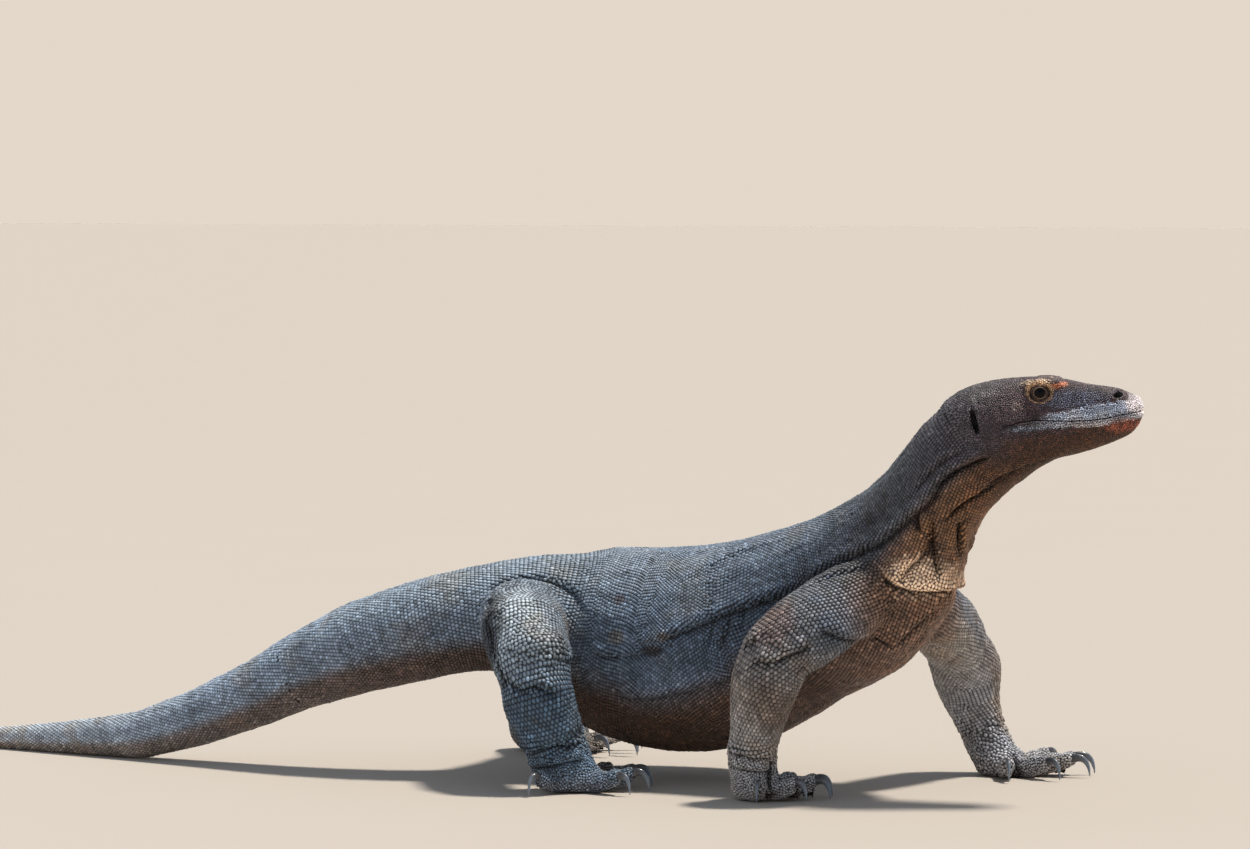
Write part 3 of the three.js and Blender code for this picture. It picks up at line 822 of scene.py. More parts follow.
@dataclass(frozen=True)
class Face:
    """The forms of the head that are sculpted in the skin: eyes, nostrils, mouth, ears and their ridges."""

    head: HeadFrame
    eye_side: float = 38.5 * MM
    eye_radius: float = 9.0 * MM
    opening: tuple[float, float] = (7.2 * MM, 6.7 * MM)
    orbit: tuple[float, float] = (14.0 * MM, 11.5 * MM)
    nostril: tuple[float, float, float] = (29.0 * MM, 26.0 * MM, 18.3 * MM)
    nostril_size: tuple[float, float] = (6.0 * MM, 3.7 * MM)
    ear: tuple[float, float, float] = (197.0 * MM, 57.0 * MM, 2.0 * MM)
    ear_size: tuple[float, float] = (4.2 * MM, 16.5 * MM)
    ear_lean: float = math.radians(10.0)
    mouth_back: tuple[float, ...] = (
        -0.010, 0.013, 0.023, 0.040, 0.062, 0.087, 0.110, 0.127, 0.144, 0.162, 0.176)
    mouth_height: tuple[float, ...] = (
        -0.0020, -0.0035, -0.0042, -0.0070, -0.0080, -0.0070, -0.0043, -0.0023, -0.0030, -0.0070, -0.0130)
    lip_depth: float = 2.2 * MM
    eye_depth: float = -14.0 * MM
    ear_end: float = 0.23
    head_end: float = 0.26

    def mouth_at(self, back: Array) -> Array:
        """Gives the height of the closed mouth's line at each distance back."""
        return np.interp(back, self.mouth_back, self.mouth_height)

    def eye_middle(self, side: float) -> Vector:
        """Gives the middle of the eyeball on one side."""
        return self.head.at(self.head.EYE_BACK, side * self.eye_side, self.head.EYE_HEIGHT)

    def about_eye(self, points: Array, side: float) -> tuple[Array, Array, Array]:
        """Measures points back, up and outwards from the middle of one eyeball."""
        back, left, height = self.head.measure(points)
        return back - self.head.EYE_BACK, height - self.head.EYE_HEIGHT, side * left - self.eye_side

    def spread(self, first: Array, second: Array, size: tuple[float, float]) -> Array:
        """Gives how far out points lie in an oval of two half sizes, 1 at its edge."""
        return np.hypot(first / size[0], second / size[1])

    def lip_at(self, back: Array) -> Array:
        """Gives how tall the pale band of the upper lip is at each distance back."""
        return np.interp(back, (0.0, 0.015, 0.030, 0.052, 0.075, 0.095, 0.120),
                         (0.010, 0.014, 0.0165, 0.018, 0.015, 0.011, 0.006))

    def about_nostril(self, points: Array, side: float) -> Array:
        """Gives how far out points lie from a nostril, 1 at its edge."""
        back, left, height = self.head.measure(points)
        spread = self.spread(back - self.nostril[0], height - self.nostril[2], self.nostril_size)
        return np.where(side * left > 0.4 * self.nostril[1], spread, 9.0)

    def about_ear(self, points: Array, side: float) -> Array:
        """Gives how far out points lie from an ear's slit, 1 at its edge."""
        back, left, height = self.head.measure(points)
        back, height = back - self.ear[0], height - self.ear[2]
        turned = back * math.cos(self.ear_lean) - height * math.sin(self.ear_lean)
        risen = back * math.sin(self.ear_lean) + height * math.cos(self.ear_lean)
        spread = self.spread(turned, risen, self.ear_size)
        return np.where(side * left > 0.4 * self.ear[1], spread, 9.0)

    def _marked(self, points: Array, mouth: float, oval: tuple[float, float],
                shares: tuple[float, float, float]) -> Array:
        """Marks the points near the mouth, eyes, nostrils and ears.

        Args:
            points: The places, one row each.
            mouth: How far from the mouth's line is marked.
            oval: The half sizes of the eye's oval, where its share is 1.
            shares: How far out from an eye, a nostril and an ear is marked, 1 at its edge.

        Returns:
            True for each point that is marked.
        """
        back, _, height = self.head.measure(points)
        marked = (np.abs(height - self.mouth_at(back)) < mouth) & (back < self.mouth_back[-1])
        for side in SIDES.values():
            rearward, upward, outward = self.about_eye(points, side)
            marked |= (self.spread(rearward, upward, oval) < shares[0]) & (outward > self.eye_depth)
            marked |= self.about_nostril(points, side) < shares[1]
            marked |= (self.about_ear(points, side) < shares[2]) & (back < self.ear_end)
        return marked

    def fine(self, points: Array) -> Array:
        """Marks the surroundings of the eyes, nostrils, mouth and ears, whose faces are halved once."""
        return self._marked(points, 4.0 * MM, self.orbit, (1.35, 2.0, 1.8))

    def finest(self, points: Array) -> Array:
        """Marks the edges of the eyes, nostrils, mouth and ears, whose faces are halved again."""
        return self._marked(points, 2.6 * MM, self.opening, (1.5, 1.4, 1.3))

    def shape(self, points: Array, normals: Array) -> tuple[Array, Array]:
        """Sculpts the head's forms.

        Args:
            points: The skin's points.
            normals: Their normals.

        Returns:
            The moved points, and how bare each is: 1 in the pits and the mouth, where no scale lies.
        """
        back, left, height = self.head.measure(points)
        bare = np.zeros(len(points))
        lift = np.zeros(len(points))
        on_head = back < self.head_end
        above = height - self.mouth_at(back)
        closed = smoothstep(0.0, 0.022, self.mouth_back[-1] - back)
        lift -= self.lip_depth * closed * bump_of(above, 0.95 * MM)
        lift -= 1.8 * MM * bump_of(back - 1.0 * MM, 6.0 * MM) * bump_of(above - 0.6 * MM, 1.6 * MM)
        banded = bump_of(back - 0.055, 0.050)
        lift -= 0.9 * MM * banded * bump_of(above - self.lip_at(back) - 1.2 * MM, 1.6 * MM)
        lift += 0.7 * MM * banded * bump_of(above - self.lip_at(back) + 1.6 * MM, 1.8 * MM)
        lift += 1.1 * MM * closed * bump_of(above - 3.6 * MM, 3.0 * MM)
        lift += 0.8 * MM * closed * bump_of(above + 4.0 * MM, 3.0 * MM)
        bare = np.maximum(bare, closed * bump_of(above, 0.9 * MM))
        for side in SIDES.values():
            beside = side * left
            lift += self._ridges(back, beside, height)
            nostril = self.about_nostril(points, side)
            lift -= 6.0 * MM * (1.0 - smoothstep(0.35, 1.05, nostril))
            lift += 1.0 * MM * bump_of(nostril - 1.35, 0.35)
            ear = self.about_ear(points, side)
            lift -= 7.0 * MM * (1.0 - smoothstep(0.3, 1.05, ear)) * on_head
            lift += 1.6 * MM * bump_of(ear - 1.45, 0.45) * on_head
            bare = np.maximum(bare, 1.0 - smoothstep(0.85, 1.1, nostril))
            bare = np.maximum(bare, (1.0 - smoothstep(0.85, 1.1, ear)) * on_head)
        moved = points + normals * (lift * on_head)[:, None]
        for side in SIDES.values():
            moved, opened = self._open_eye(moved, side)
            bare = np.maximum(bare, opened)
        return moved, bare

    def _ridges(self, back: Array, beside: Array, height: Array) -> Array:
        """Gives the lift of one side's brow, snout edge, cheek and temple.

        Args:
            back: Distances back from the snout.
            beside: Distances out to this side.
            height: Heights above the snout's tip.

        Returns:
            One lift for each point.
        """
        outer = smoothstep(4.0 * MM, 14.0 * MM, beside)
        edge = np.interp(back, (0.035, 0.060, 0.090, 0.100, 0.120, 0.138, 0.150),
                         (0.0225, 0.0290, 0.0355, 0.0395, 0.0425, 0.0405, 0.0380))
        brow = smoothstep(0.092, 0.104, back) * (1.0 - smoothstep(0.132, 0.150, back))
        snout = smoothstep(0.030, 0.050, back) * (1.0 - brow) * (1.0 - smoothstep(0.138, 0.175, back))
        lift = 1.7 * MM * brow * bump_of(height - edge, 3.4 * MM)
        lift += 1.1 * MM * snout * bump_of(height - edge, 4.0 * MM)
        hollow = bump_of(back - 0.075, 0.026) * bump_of(height - 0.014, 0.0085)
        cheek = bump_of(back - 0.158, 0.030) * bump_of(height + 0.020, 0.020)
        temple = bump_of(back - 0.160, 0.020) * bump_of(height - 0.027, 0.012)
        behind_jaw = bump_of(back - 0.212, 0.016) * bump_of(height + 0.025, 0.022)
        lift += (-1.6 * hollow + 2.0 * cheek - 1.4 * temple - 1.6 * behind_jaw) * MM
        return lift * outer

    def _open_eye(self, points: Array, side: float) -> tuple[Array, Array]:
        """Wraps the skin round one eyeball and opens it.

        Args:
            points: The skin's points.
            side: -1 for the right eye and 1 for the left.

        Returns:
            The moved points, and 1 for each that lies in the opening.
        """
        rearward, upward, outward = self.about_eye(points, side)
        near = (np.hypot(rearward, upward) < 20.0 * MM) & (outward > -16.0 * MM)
        flat = rearward**2 + upward**2
        wrap = np.sqrt(np.maximum((self.eye_radius + 0.9 * MM) ** 2 - flat, 0.0))
        sunk = np.sqrt(np.maximum((self.eye_radius - 2.4 * MM) ** 2 - flat, 0.0)) - 0.5 * MM
        blend = 2.2 * MM
        lid = 0.5 * (outward + wrap + np.sqrt((outward - wrap) ** 2 + blend**2)) - 0.3 * blend
        spread = self.spread(rearward, upward, self.opening)
        ring = self.spread(rearward, upward, self.orbit)
        lid = lid + 0.9 * MM * bump_of(ring - 1.0, 0.12) - 0.8 * MM * bump_of(ring - 0.78, 0.12)
        wrapped = 1.0 - smoothstep(1.05, 1.4, ring)
        target = outward + (lid - outward) * wrapped
        opened = 1.0 - smoothstep(0.86, 1.06, spread)
        target = target + (sunk - target) * opened
        shift = np.where(near, target - outward, 0.0)
        zero = np.zeros(len(points))
        return points + self.head.offset(zero, side * shift, zero), np.where(near, opened, 0.0)


# ---- the skin


class Neighbours:
    """The points joined to each point of a mesh."""

    def __init__(self, mesh: Mesh) -> None:
        """Reads the mesh's edges."""
        edges = edges_of(mesh)
        self.starts = np.concatenate([edges[:, 0], edges[:, 1]])
        self.ends = np.concatenate([edges[:, 1], edges[:, 0]])
        self.size = len(mesh.vertices)
        self.counts = np.maximum(np.bincount(self.starts, minlength=self.size), 1)

    def mean(self, rows: Array) -> Array:
        """Gives the mean of each point's neighbours."""
        columns = rows.reshape(self.size, -1)
        sums = [np.bincount(self.starts, column[self.ends], self.size) for column in columns.T]
        return (np.stack(sums, 1) / self.counts[:, None]).reshape(rows.shape)

    def spread(self, rows: Array, strength: Array, rounds: int) -> Array:
        """Moves each row towards its neighbours' mean, in rounds, by its own strength."""
        share = strength.reshape(-1, *[1] * (rows.ndim - 1))
        for _ in range(rounds):
            rows = rows + share * (self.mean(rows) - rows)
        return rows


@dataclass
class Skin:
    """The one skin over all the flesh."""

    anatomy: Anatomy
    face: Face
    voxel: float = 2.6 * MM
    swell: float = 0.8 * MM
    rounds: int = 60
    coarse_share: float = 0.06
    softness: float = 0.11
    softest: float = 12.0 * MM
    head_softness: float = 4.6 * MM
    floor_gap: float = 0.6 * MM
    points: Array = field(init=False)
    normals: Array = field(init=False)
    bare: Array = field(init=False)
    relief: Array = field(init=False)
    triangles: Array = field(init=False)
    tree: BVHTree = field(init=False)
    mesh: Mesh = field(init=False)

    def build(self) -> None:
        """Makes the skin's mesh and its search tree."""
        self.mesh = self._remeshed()
        self._soften()
        self._lower()
        self._thin_out()
        self._refine(self.face.fine)
        self._refine(self.face.finest)
        self._sculpt()
        self._index()

    def _remeshed(self) -> Mesh:
        """Joins the flesh solids, slightly swollen so that the cuts close, and remeshes them as one."""
        shape = bmesh.new()
        for name in FLESH:
            shape.from_mesh(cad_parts[name].data)
        bmesh.ops.remove_doubles(shape, verts=shape.verts, dist=0.01 * MM)
        shape.normal_update()
        for vertex in shape.verts:
            vertex.co += vertex.normal * self.swell
        joined = put("joined_flesh", mesh_from(shape, "joined_flesh"))
        remesh = joined.modifiers.new("remesh", "REMESH")
        remesh.mode = "VOXEL"
        remesh.voxel_size = self.voxel
        return applied(joined)

    def _tree_at(self, points: Array) -> BVHTree:
        """Makes a search tree of the mesh with its points at these places."""
        return BVHTree.FromPolygons(points.tolist(), [tuple(p.vertices) for p in self.mesh.polygons])

    def _thickness(self, points: Array, normals: Array) -> Array:
        """Measures how thick the body is under each point."""
        tree = self._tree_at(points)
        clear = 1.0 * MM
        hits = (tree.ray_cast(p - n * clear, -n)[3] for p, n in zip(points, normals))
        return np.array([hit or 0.0 for hit in hits])

    def _soften(self) -> None:
        """Rounds off the facets, more where the body is thick, without shrinking it."""
        points, normals = points_of(self.mesh), normals_of(self.mesh)
        near = Neighbours(self.mesh)
        thickness = near.spread(self._thickness(points, normals), np.full(len(points), 0.5), 20)
        back = self.anatomy.head.measure(points)[0]
        softness = np.minimum(self.softness * thickness, self.softest)
        on_head = 1.0 - smoothstep(0.20, 0.27, back)
        softness = np.minimum(softness, self.head_softness + (1.0 - on_head) * self.softest)
        strength = np.minimum(softness**2 / (self.rounds * 0.5 * self.voxel**2), 0.5)
        once = near.spread(points, strength, self.rounds)
        twice = near.spread(once, strength, self.rounds)
        place(self.mesh, 2.0 * once - twice)

    def _lower(self) -> None:
        """Lowers the skin by its swelling and by the depth of the coat."""
        points, normals = points_of(self.mesh), normals_of(self.mesh)
        depth = self.swell + coat_depth(self.anatomy, points)
        depth = Neighbours(self.mesh).spread(depth, np.full(len(depth), 0.5), 25)
        place(self.mesh, points - normals * depth[:, None])

    def _near_detail(self, points: Array) -> Array:
        """Marks the points of the head and feet, and those near a fold or a wrinkle."""
        marked = self.anatomy.head.measure(points)[0] < 0.235
        feet = [nodes[2] for nodes in LIMBS.values()]
        low = points[:, 2] < 60.0 * MM
        marked[low] |= np.isin(self.anatomy.flesh.owners_of(points[low]), feet)
        tree = self._tree_at(points)
        for fold in FOLDS:
            for line in fold.lines(self.anatomy, tree):
                marked |= np.abs(fold.height_at(points, line)) > 1.6 * MM
        for wrinkles in WRINKLES:
            marked |= wrinkles.weight_at(points) > 0.45
        return marked

    def _thin_out(self) -> None:
        """Makes the mesh coarser where it holds no fine form."""
        marked = self._near_detail(points_of(self.mesh))
        holder = put("thinned", self.mesh)
        group = holder.vertex_groups.new(name="coarse")
        group.add(np.flatnonzero(~marked).tolist(), 1.0, "REPLACE")
        thin = holder.modifiers.new("thin", "DECIMATE")
        thin.ratio = float(marked.mean() + self.coarse_share * (1.0 - marked.mean()))
        thin.vertex_group = group.name
        thin.vertex_group_factor = 100.0
        self.mesh = applied(holder)

    def _refine(self, chosen: Callable[[Array], Array]) -> None:
        """Halves the faces whose points are all chosen."""
        shape = bmesh.new()
        shape.from_mesh(self.mesh)
        marked = chosen(points_of(self.mesh))
        edges = [edge for edge in shape.edges if all(marked[vertex.index] for vertex in edge.verts)]
        bmesh.ops.subdivide_edges(shape, edges=edges, cuts=1, use_grid_fill=True, smooth=0.0)
        shape.to_mesh(self.mesh)
        shape.free()
        near = Neighbours(self.mesh)
        points = points_of(self.mesh)
        place(self.mesh, near.spread(points, chosen(points) * 0.35, 3))

    def _muscles(self, points: Array, near: Neighbours) -> Array:
        """Gives how far the legs' muscles lift the skin at each point."""
        lift = np.zeros(len(points))
        owners = self.anatomy.flesh.owners_of(points)
        for (kind, side), track in self.anatomy.limbs.items():
            own = np.isin(owners, LIMBS[kind, side]).astype(float)
            own = near.spread(own, np.full(len(own), 0.5), 12)
            rows = np.flatnonzero(own > 0.02)
            lengths, angles, _ = track.measure(points[rows])
            for muscle in MUSCLES:
                if muscle.kind == kind:
                    height = muscle.height_at(lengths, -SIDES[side] * angles, track.lengths[-1])
                    lift[rows] += height * own[rows]
        return lift

    def _sculpt(self) -> None:
        """Folds the skin, shapes the face and flattens what rests on the floor."""
        points, normals = points_of(self.mesh), normals_of(self.mesh)
        tree = self._tree_at(points)
        lift = sum(wrinkles.height_at(points) for wrinkles in WRINKLES)
        points = points + normals * self._muscles(points, Neighbours(self.mesh))[:, None]
        for fold in FOLDS:
            for line in fold.lines(self.anatomy, tree):
                lift = lift + fold.height_at(points, line)
        off_head = smoothstep(0.19, 0.25, self.anatomy.head.measure(points)[0])
        slack = 0.8 * drift(points, 0.027, 6.0) + 0.45 * drift(points, 0.015, 9.0)
        lift = lift + slack * MM * off_head * smoothstep(0.02, 0.06, points[:, 2])
        smooth = points
        points = points + normals * lift[:, None]
        for key in LIMBS:
            points = Toes(*key).shape(points, normals)
        self.relief = ((points - smooth) * normals).sum(1)
        points, self.bare = self.face.shape(points, normals)
        points[:, 2] = np.maximum(points[:, 2], self.floor_gap)
        place(self.mesh, points)

    def _index(self) -> None:
        """Keeps the finished points, normals and triangles, and a search tree of them."""
        self.points, self.normals = points_of(self.mesh), normals_of(self.mesh)
        self.mesh.calc_loop_triangles()
        flat = np.empty(len(self.mesh.loop_triangles) * 3, np.int64)
        self.mesh.loop_triangles.foreach_get("vertices", flat)
        self.triangles = flat.reshape(-1, 3)
        self.tree = BVHTree.FromPolygons(self.points.tolist(), self.triangles.tolist())

    def shares(self, spots: Array, faces: Array) -> Array:
        """Gives each spot's shares of its triangle's three corners."""
        first, second, third = (self.points[self.triangles[faces, corner]] for corner in range(3))
        across, along, away = second - first, third - first, spots - first
        aa, ab, bb = (across**2).sum(1), (across * along).sum(1), (along**2).sum(1)
        wa, wb = (away * across).sum(1), (away * along).sum(1)
        scale = np.maximum(aa * bb - ab**2, 1e-20)
        v, w = (bb * wa - ab * wb) / scale, (aa * wb - ab * wa) / scale
        return np.clip(np.stack([1.0 - v - w, v, w], 1), 0.0, 1.0)

    def read(self, values: Array, spots: Array, faces: Array) -> Array:
        """Reads a value of the points at spots on given triangles."""
        shares = self.shares(spots, faces)
        corners = values[self.triangles[faces]]
        return (corners * shares.reshape(*shares.shape, *[1] * (corners.ndim - 2))).sum(1)


# ---- the lay of the scales


@dataclass(frozen=True)
class Lay:
    """How one part's scales are spaced along and across their lie, and how high they stand."""

    along: float
    across: float
    height: float

    @property
    def gap(self) -> float:
        """The spacing of the even packing that has as many scales as this lay."""
        return math.sqrt(self.along * self.across / ROW_STEP)


LAY_SIZES = {
    "tail_tip": (3.1, 3.5, 0.9),
    "tail_rear": (3.7, 4.3, 1.2),
    "tail_middle": (4.0, 4.7, 1.4),
    "tail_base": (4.1, 4.8, 1.5),
    "hips": (4.1, 4.7, 1.5),
    "belly": (4.1, 4.7, 1.5),
    "chest": (4.1, 4.7, 1.5),
    "neck": (3.3, 3.8, 1.2),
    "head": (2.0, 2.3, 0.7),
    "lower_jaw": (2.1, 2.4, 0.7),
    "upper_arm": (4.2, 4.8, 1.5),
    "forearm": (4.5, 5.1, 1.5),
    "hand": (2.8, 3.3, 1.0),
    "thigh": (4.4, 4.7, 1.5),
    "shank": (4.7, 5.2, 1.6),
    "foot": (2.8, 3.3, 1.0),
}
LAYS = {name: Lay(*(size * MM for size in sizes)) for name, sizes in LAY_SIZES.items()}


def part_of(node: str) -> str:
    """Gives a node's part name without its side."""
    return node.removesuffix("_right").removesuffix("_left")


def coat_depth(anatomy: Anatomy, points: Array) -> Array:
    """Gives how far the skin lies inside the solids, so that the scales reach their surface."""
    share = 0.85
    return np.array([LAYS[part_of(anatomy.flesh.owner(point))].height * share for point in points])


# ---- markings


@dataclass(frozen=True)
class Tone:
    """Screen colours of a part's scale tops: on its back or outside, its flank, and its underside."""

    back: tuple[int, int, int]
    flank: tuple[int, int, int]
    under: tuple[int, int, int]

    def rows(self) -> Array:
        """Gives the three colours as scene-linear rows."""
        return np.stack([linear(*self.back), linear(*self.flank), linear(*self.under)])


TONES = {
    "tail_tip": Tone((190, 200, 210), (178, 186, 196), (130, 120, 112)),
    "tail_rear": Tone((172, 184, 196), (158, 172, 188), (132, 130, 130)),
    "tail_middle": Tone((146, 163, 184), (130, 146, 166), (112, 102, 100)),
    "tail_base": Tone((136, 154, 172), (120, 135, 154), (88, 72, 66)),
    "hips": Tone((112, 128, 144), (104, 119, 136), (76, 60, 52)),
    "belly": Tone((106, 123, 142), (96, 113, 134), (84, 60, 42)),
    # the chest's dark flank is painted shade from the shoulder and the folds
    "chest": Tone((92, 107, 125), (50, 63, 80), (116, 96, 88)),
    "neck": Tone((82, 88, 96), (70, 72, 79), (120, 84, 55)),
    "head": Tone((66, 48, 54), (68, 50, 58), (70, 42, 24)),
    "upper_arm": Tone((84, 96, 112), (100, 104, 114), (150, 144, 138)),
    "forearm": Tone((130, 122, 116), (122, 110, 102), (152, 152, 158)),
    "hand": Tone((164, 166, 172), (156, 154, 154), (150, 154, 164)),
    "thigh": Tone((182, 196, 206), (116, 130, 144), (96, 90, 86)),
    "shank": Tone((56, 78, 100), (56, 72, 90), (74, 72, 74)),
    "foot": Tone((90, 114, 138), (88, 104, 118), (92, 90, 90)),
}


@dataclass(frozen=True)
class Patch:
    """An oval patch of colour on the sides of the body or head."""

    colour: tuple[int, int, int]
    middle: tuple[float, float]
    size: tuple[float, float]
    strength: float
    view: View = View.HEAD
    sides: tuple[float, ...] = (-1.0, 1.0)


PATCHES = (
    # snout, temple, cheek and jaw
    Patch((76, 82, 104), (80 * MM, 18 * MM), (46 * MM, 13 * MM), 0.8),
    Patch((66, 50, 62), (160 * MM, 10 * MM), (36 * MM, 30 * MM), 0.6),
    Patch((72, 40, 18), (112 * MM, -36 * MM), (74 * MM, 22 * MM), 0.9),
    Patch((128, 140, 158), (132 * MM, -11.5 * MM), (32 * MM, 4.0 * MM), 0.65),
    Patch((194, 106, 80), (24 * MM, -17 * MM), (26 * MM, 9 * MM), 0.5),
    Patch((248, 238, 242), (2 * MM, 6 * MM), (23 * MM, 17 * MM), 0.9),
    Patch((150, 138, 140), (148 * MM, 15 * MM), (8 * MM, 6 * MM), 0.5),
    # brow and the edge in front of it
    Patch((226, 140, 100), (98 * MM, 36 * MM), (13 * MM, 4.0 * MM), 0.8),
    Patch((250, 220, 190), (121 * MM, 41 * MM), (19 * MM, 4.6 * MM), 0.95),
    # the collar, the scabs and the bare spots of the flank, the stains on the arm, and painted shade on the
    # thigh's back
    Patch((246, 214, 184), (0.734, 0.268), (0.042, 0.028), 0.9, View.SIDE),
    Patch((60, 42, 34), (0.757, 0.305), (0.010, 0.045), 0.5, View.SIDE),
    Patch((44, 38, 40), (0.388, 0.167), (0.017, 0.009), 0.85, View.SIDE, (-1.0,)),
    Patch((136, 124, 104), (0.337, 0.181), (0.015, 0.010), 0.5, View.SIDE, (-1.0,)),
    Patch((128, 114, 98), (0.404, 0.185), (0.011, 0.008), 0.45, View.SIDE, (-1.0,)),
    Patch((66, 50, 46), (0.335, 0.226), (0.010, 0.007), 0.7, View.SIDE, (-1.0,)),
    Patch((40, 38, 40), (0.671, 0.334), (0.008, 0.013), 0.85, View.SIDE, (-1.0,)),
    Patch((96, 66, 58), (0.585, 0.215), (0.035, 0.030), 0.55, View.SIDE, (-1.0,)),
    Patch((74, 54, 44), (0.585, 0.120), (0.026, 0.045), 0.55, View.SIDE, (-1.0,)),
    # painted shade: the back of the right thigh is darkened as if in shadow
    Patch((32, 40, 52), (0.203, 0.185), (0.034, 0.064), 0.95, View.SIDE, (-1.0,)),
)


class Markings:
    """The colours of the hide, shared by the skin and the scales."""

    LIP_TOP = (176, 190, 214)
    LIP_BOTTOM = (190, 192, 204)
    LID = (216, 174, 134)
    # painted shade for the nostrils, ears and the mouth's line
    PIT_SHADE = (34, 22, 18)
    ORBIT_DARK = (74, 54, 46)
    DUST = (178, 172, 160)
    EARTH = (150, 122, 98)
    STAIN = (1.04, 0.84, 0.66)

    def __init__(self, anatomy: Anatomy, face: Face) -> None:
        """Keeps the frames that the markings follow."""
        self.anatomy = anatomy
        self.face = face

    def colour(self, points: Array, normals: Array, relief: Array) -> Array:
        """Gives the colour of the scale tops at each point.

        Args:
            points: The places, one row each.
            normals: The skin's normals there.
            relief: How far folds lift the skin there.

        Returns:
            Scene-linear colours, one row each.
        """
        colours = self._spine(points)
        for key, track in self.anatomy.limbs.items():
            colours = self._limb(colours, points, LIMBS[key], track)
        colours = self._head(colours, points)
        return self._weathered(colours, points, normals, relief)

    def bared(self, skin: Skin) -> Array:
        """Gives the skin's colours, with painted shade, nearly black, in the nostrils, ears and mouth."""
        colours = self.colour(skin.points, skin.normals, skin.relief)
        # painted shade: the nostrils, ears and the mouth's line are darkened nearly to black
        return tinted(colours, self.PIT_SHADE, smoothstep(0.25, 0.85, skin.bare))

    @staticmethod
    def _rounded(tones: Array, angles: Array) -> Array:
        """Blends back, flank and under colours by the angle from the top."""
        turned = np.abs(angles)
        flank = smoothstep(math.radians(38.0), math.radians(82.0), turned)[:, None]
        under = smoothstep(math.radians(98.0), math.radians(128.0), turned)[:, None]
        colours = tones[:, 0] + (tones[:, 1] - tones[:, 0]) * flank
        return colours + (tones[:, 2] - colours) * under

    @staticmethod
    def _between(names: Sequence[str], stations: Sequence[float], lengths: Array) -> Array:
        """Blends the tones of neighbouring parts by length along a line."""
        rows = np.stack([TONES[name].rows() for name in names])
        flat = rows.reshape(len(names), -1)
        return np.stack([np.interp(lengths, stations, column) for column in flat.T], 1).reshape(-1, 3, 3)

    def _spine(self, points: Array) -> Array:
        """Colours tail, trunk, neck and head, with faint bands on the tail."""
        lengths, angles, _ = self.anatomy.spine.measure(points)
        names = list(self.anatomy.stations)
        stations = [self.anatomy.stations[name] for name in names]
        colours = self._rounded(self._between(names, stations, lengths), angles)
        band = np.cos(lengths / 0.085 * math.tau + 0.6 * drift(points, 0.2, 1.0))
        ends = [self.anatomy.stations[name] for name in ("tail_middle", "hips")]
        on_tail = 1.0 - smoothstep(*ends, lengths)
        return colours * (1.0 - 0.10 * on_tail * (0.5 + 0.5 * band))[:, None]

    def _limb(self, colours: Array, points: Array, nodes: tuple[str, ...], track: Track) -> Array:
        """Colours one leg, blending into the trunk at its socket.

        Args:
            colours: The colours so far.
            points: The places.
            nodes: The leg's three nodes.
            track: The leg's line.

        Returns:
            The colours with the leg's own.
        """
        boxes = [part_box(node) for node in nodes]
        low = np.min([low for low, _ in boxes], axis=0) - 0.02
        high = np.max([high for _, high in boxes], axis=0) + 0.02
        near = ((points > low) & (points < high)).all(1)
        own = np.zeros(len(points), bool)
        own[near] = [owner in nodes for owner in self.anatomy.flesh.owners_of(points[near])]
        lengths, angles, _ = track.measure(points[own])
        stations = [track.length_near(np.mean(box, axis=0)) for box in boxes]
        names = [part_of(node) for node in nodes]
        tones = self._rounded(self._between(names, stations, lengths), angles)
        weight = smoothstep(0.0, 0.07, lengths)[:, None]
        colours = colours.copy()
        colours[own] += (tones - colours[own]) * weight
        return colours

    def _head(self, colours: Array, points: Array) -> Array:
        """Adds the head's patches, lips and lids."""
        back, _, height = self.anatomy.head.measure(points)
        on_head = 1.0 - smoothstep(0.19, 0.25, back)
        ragged = 1.0 + 0.22 * drift(points, 0.016, 2.0) + 0.12 * drift(points, 0.006, 5.0)
        above = (height - self.face.mouth_at(back)) * ragged
        band = self.face.lip_at(back)
        upper = 0.85 * smoothstep(0.0, 1.0 * MM, above) * (1.0 - smoothstep(0.85, 1.1, above / band))
        upper *= 1.0 - smoothstep(0.095, 0.125, back)
        lower = 0.80 * smoothstep(0.0, 0.5 * MM, -above) * (1.0 - smoothstep(6.5 * MM, 9.5 * MM, -above))
        lower *= 1.0 - smoothstep(0.08, 0.16, back)
        for weight, colour in ((upper, self.LIP_TOP), (lower, self.LIP_BOTTOM)):
            colours = tinted(colours, colour, weight)
        for patch in PATCHES:
            on_face = patch.view is View.HEAD
            first, second = (back, height) if on_face else (points[:, 0], points[:, 2])
            spread = self.face.spread(first - patch.middle[0], second - patch.middle[1], patch.size)
            placed = on_head if on_face else np.isin(np.sign(points[:, 1]), patch.sides)
            weight = patch.strength * (1.0 - smoothstep(0.45, 1.15, spread * ragged)) * placed
            colours = tinted(colours, patch.colour, weight)
        worn = 1.0 + 0.12 * drift(points, 0.009, 8.0)
        for side in SIDES.values():
            rearward, upward, outward = self.face.about_eye(points, side)
            ring = self.face.spread(rearward, upward, self.face.orbit)
            beside = outward > self.face.eye_depth
            over = smoothstep(-3.0 * MM, 6.0 * MM, upward)
            dark = 0.75 * (1.0 - smoothstep(0.95, 1.3, ring)) * beside
            rim = (ring * worn - 1.02 - 0.06 * over) / (0.09 + 0.11 * over)
            pale = (0.6 + 0.35 * over) * beside * np.exp(-(rim**2))
            for weight, colour in ((dark, self.ORBIT_DARK), (pale, self.LID)):
                colours = tinted(colours, colour, weight)
        return colours

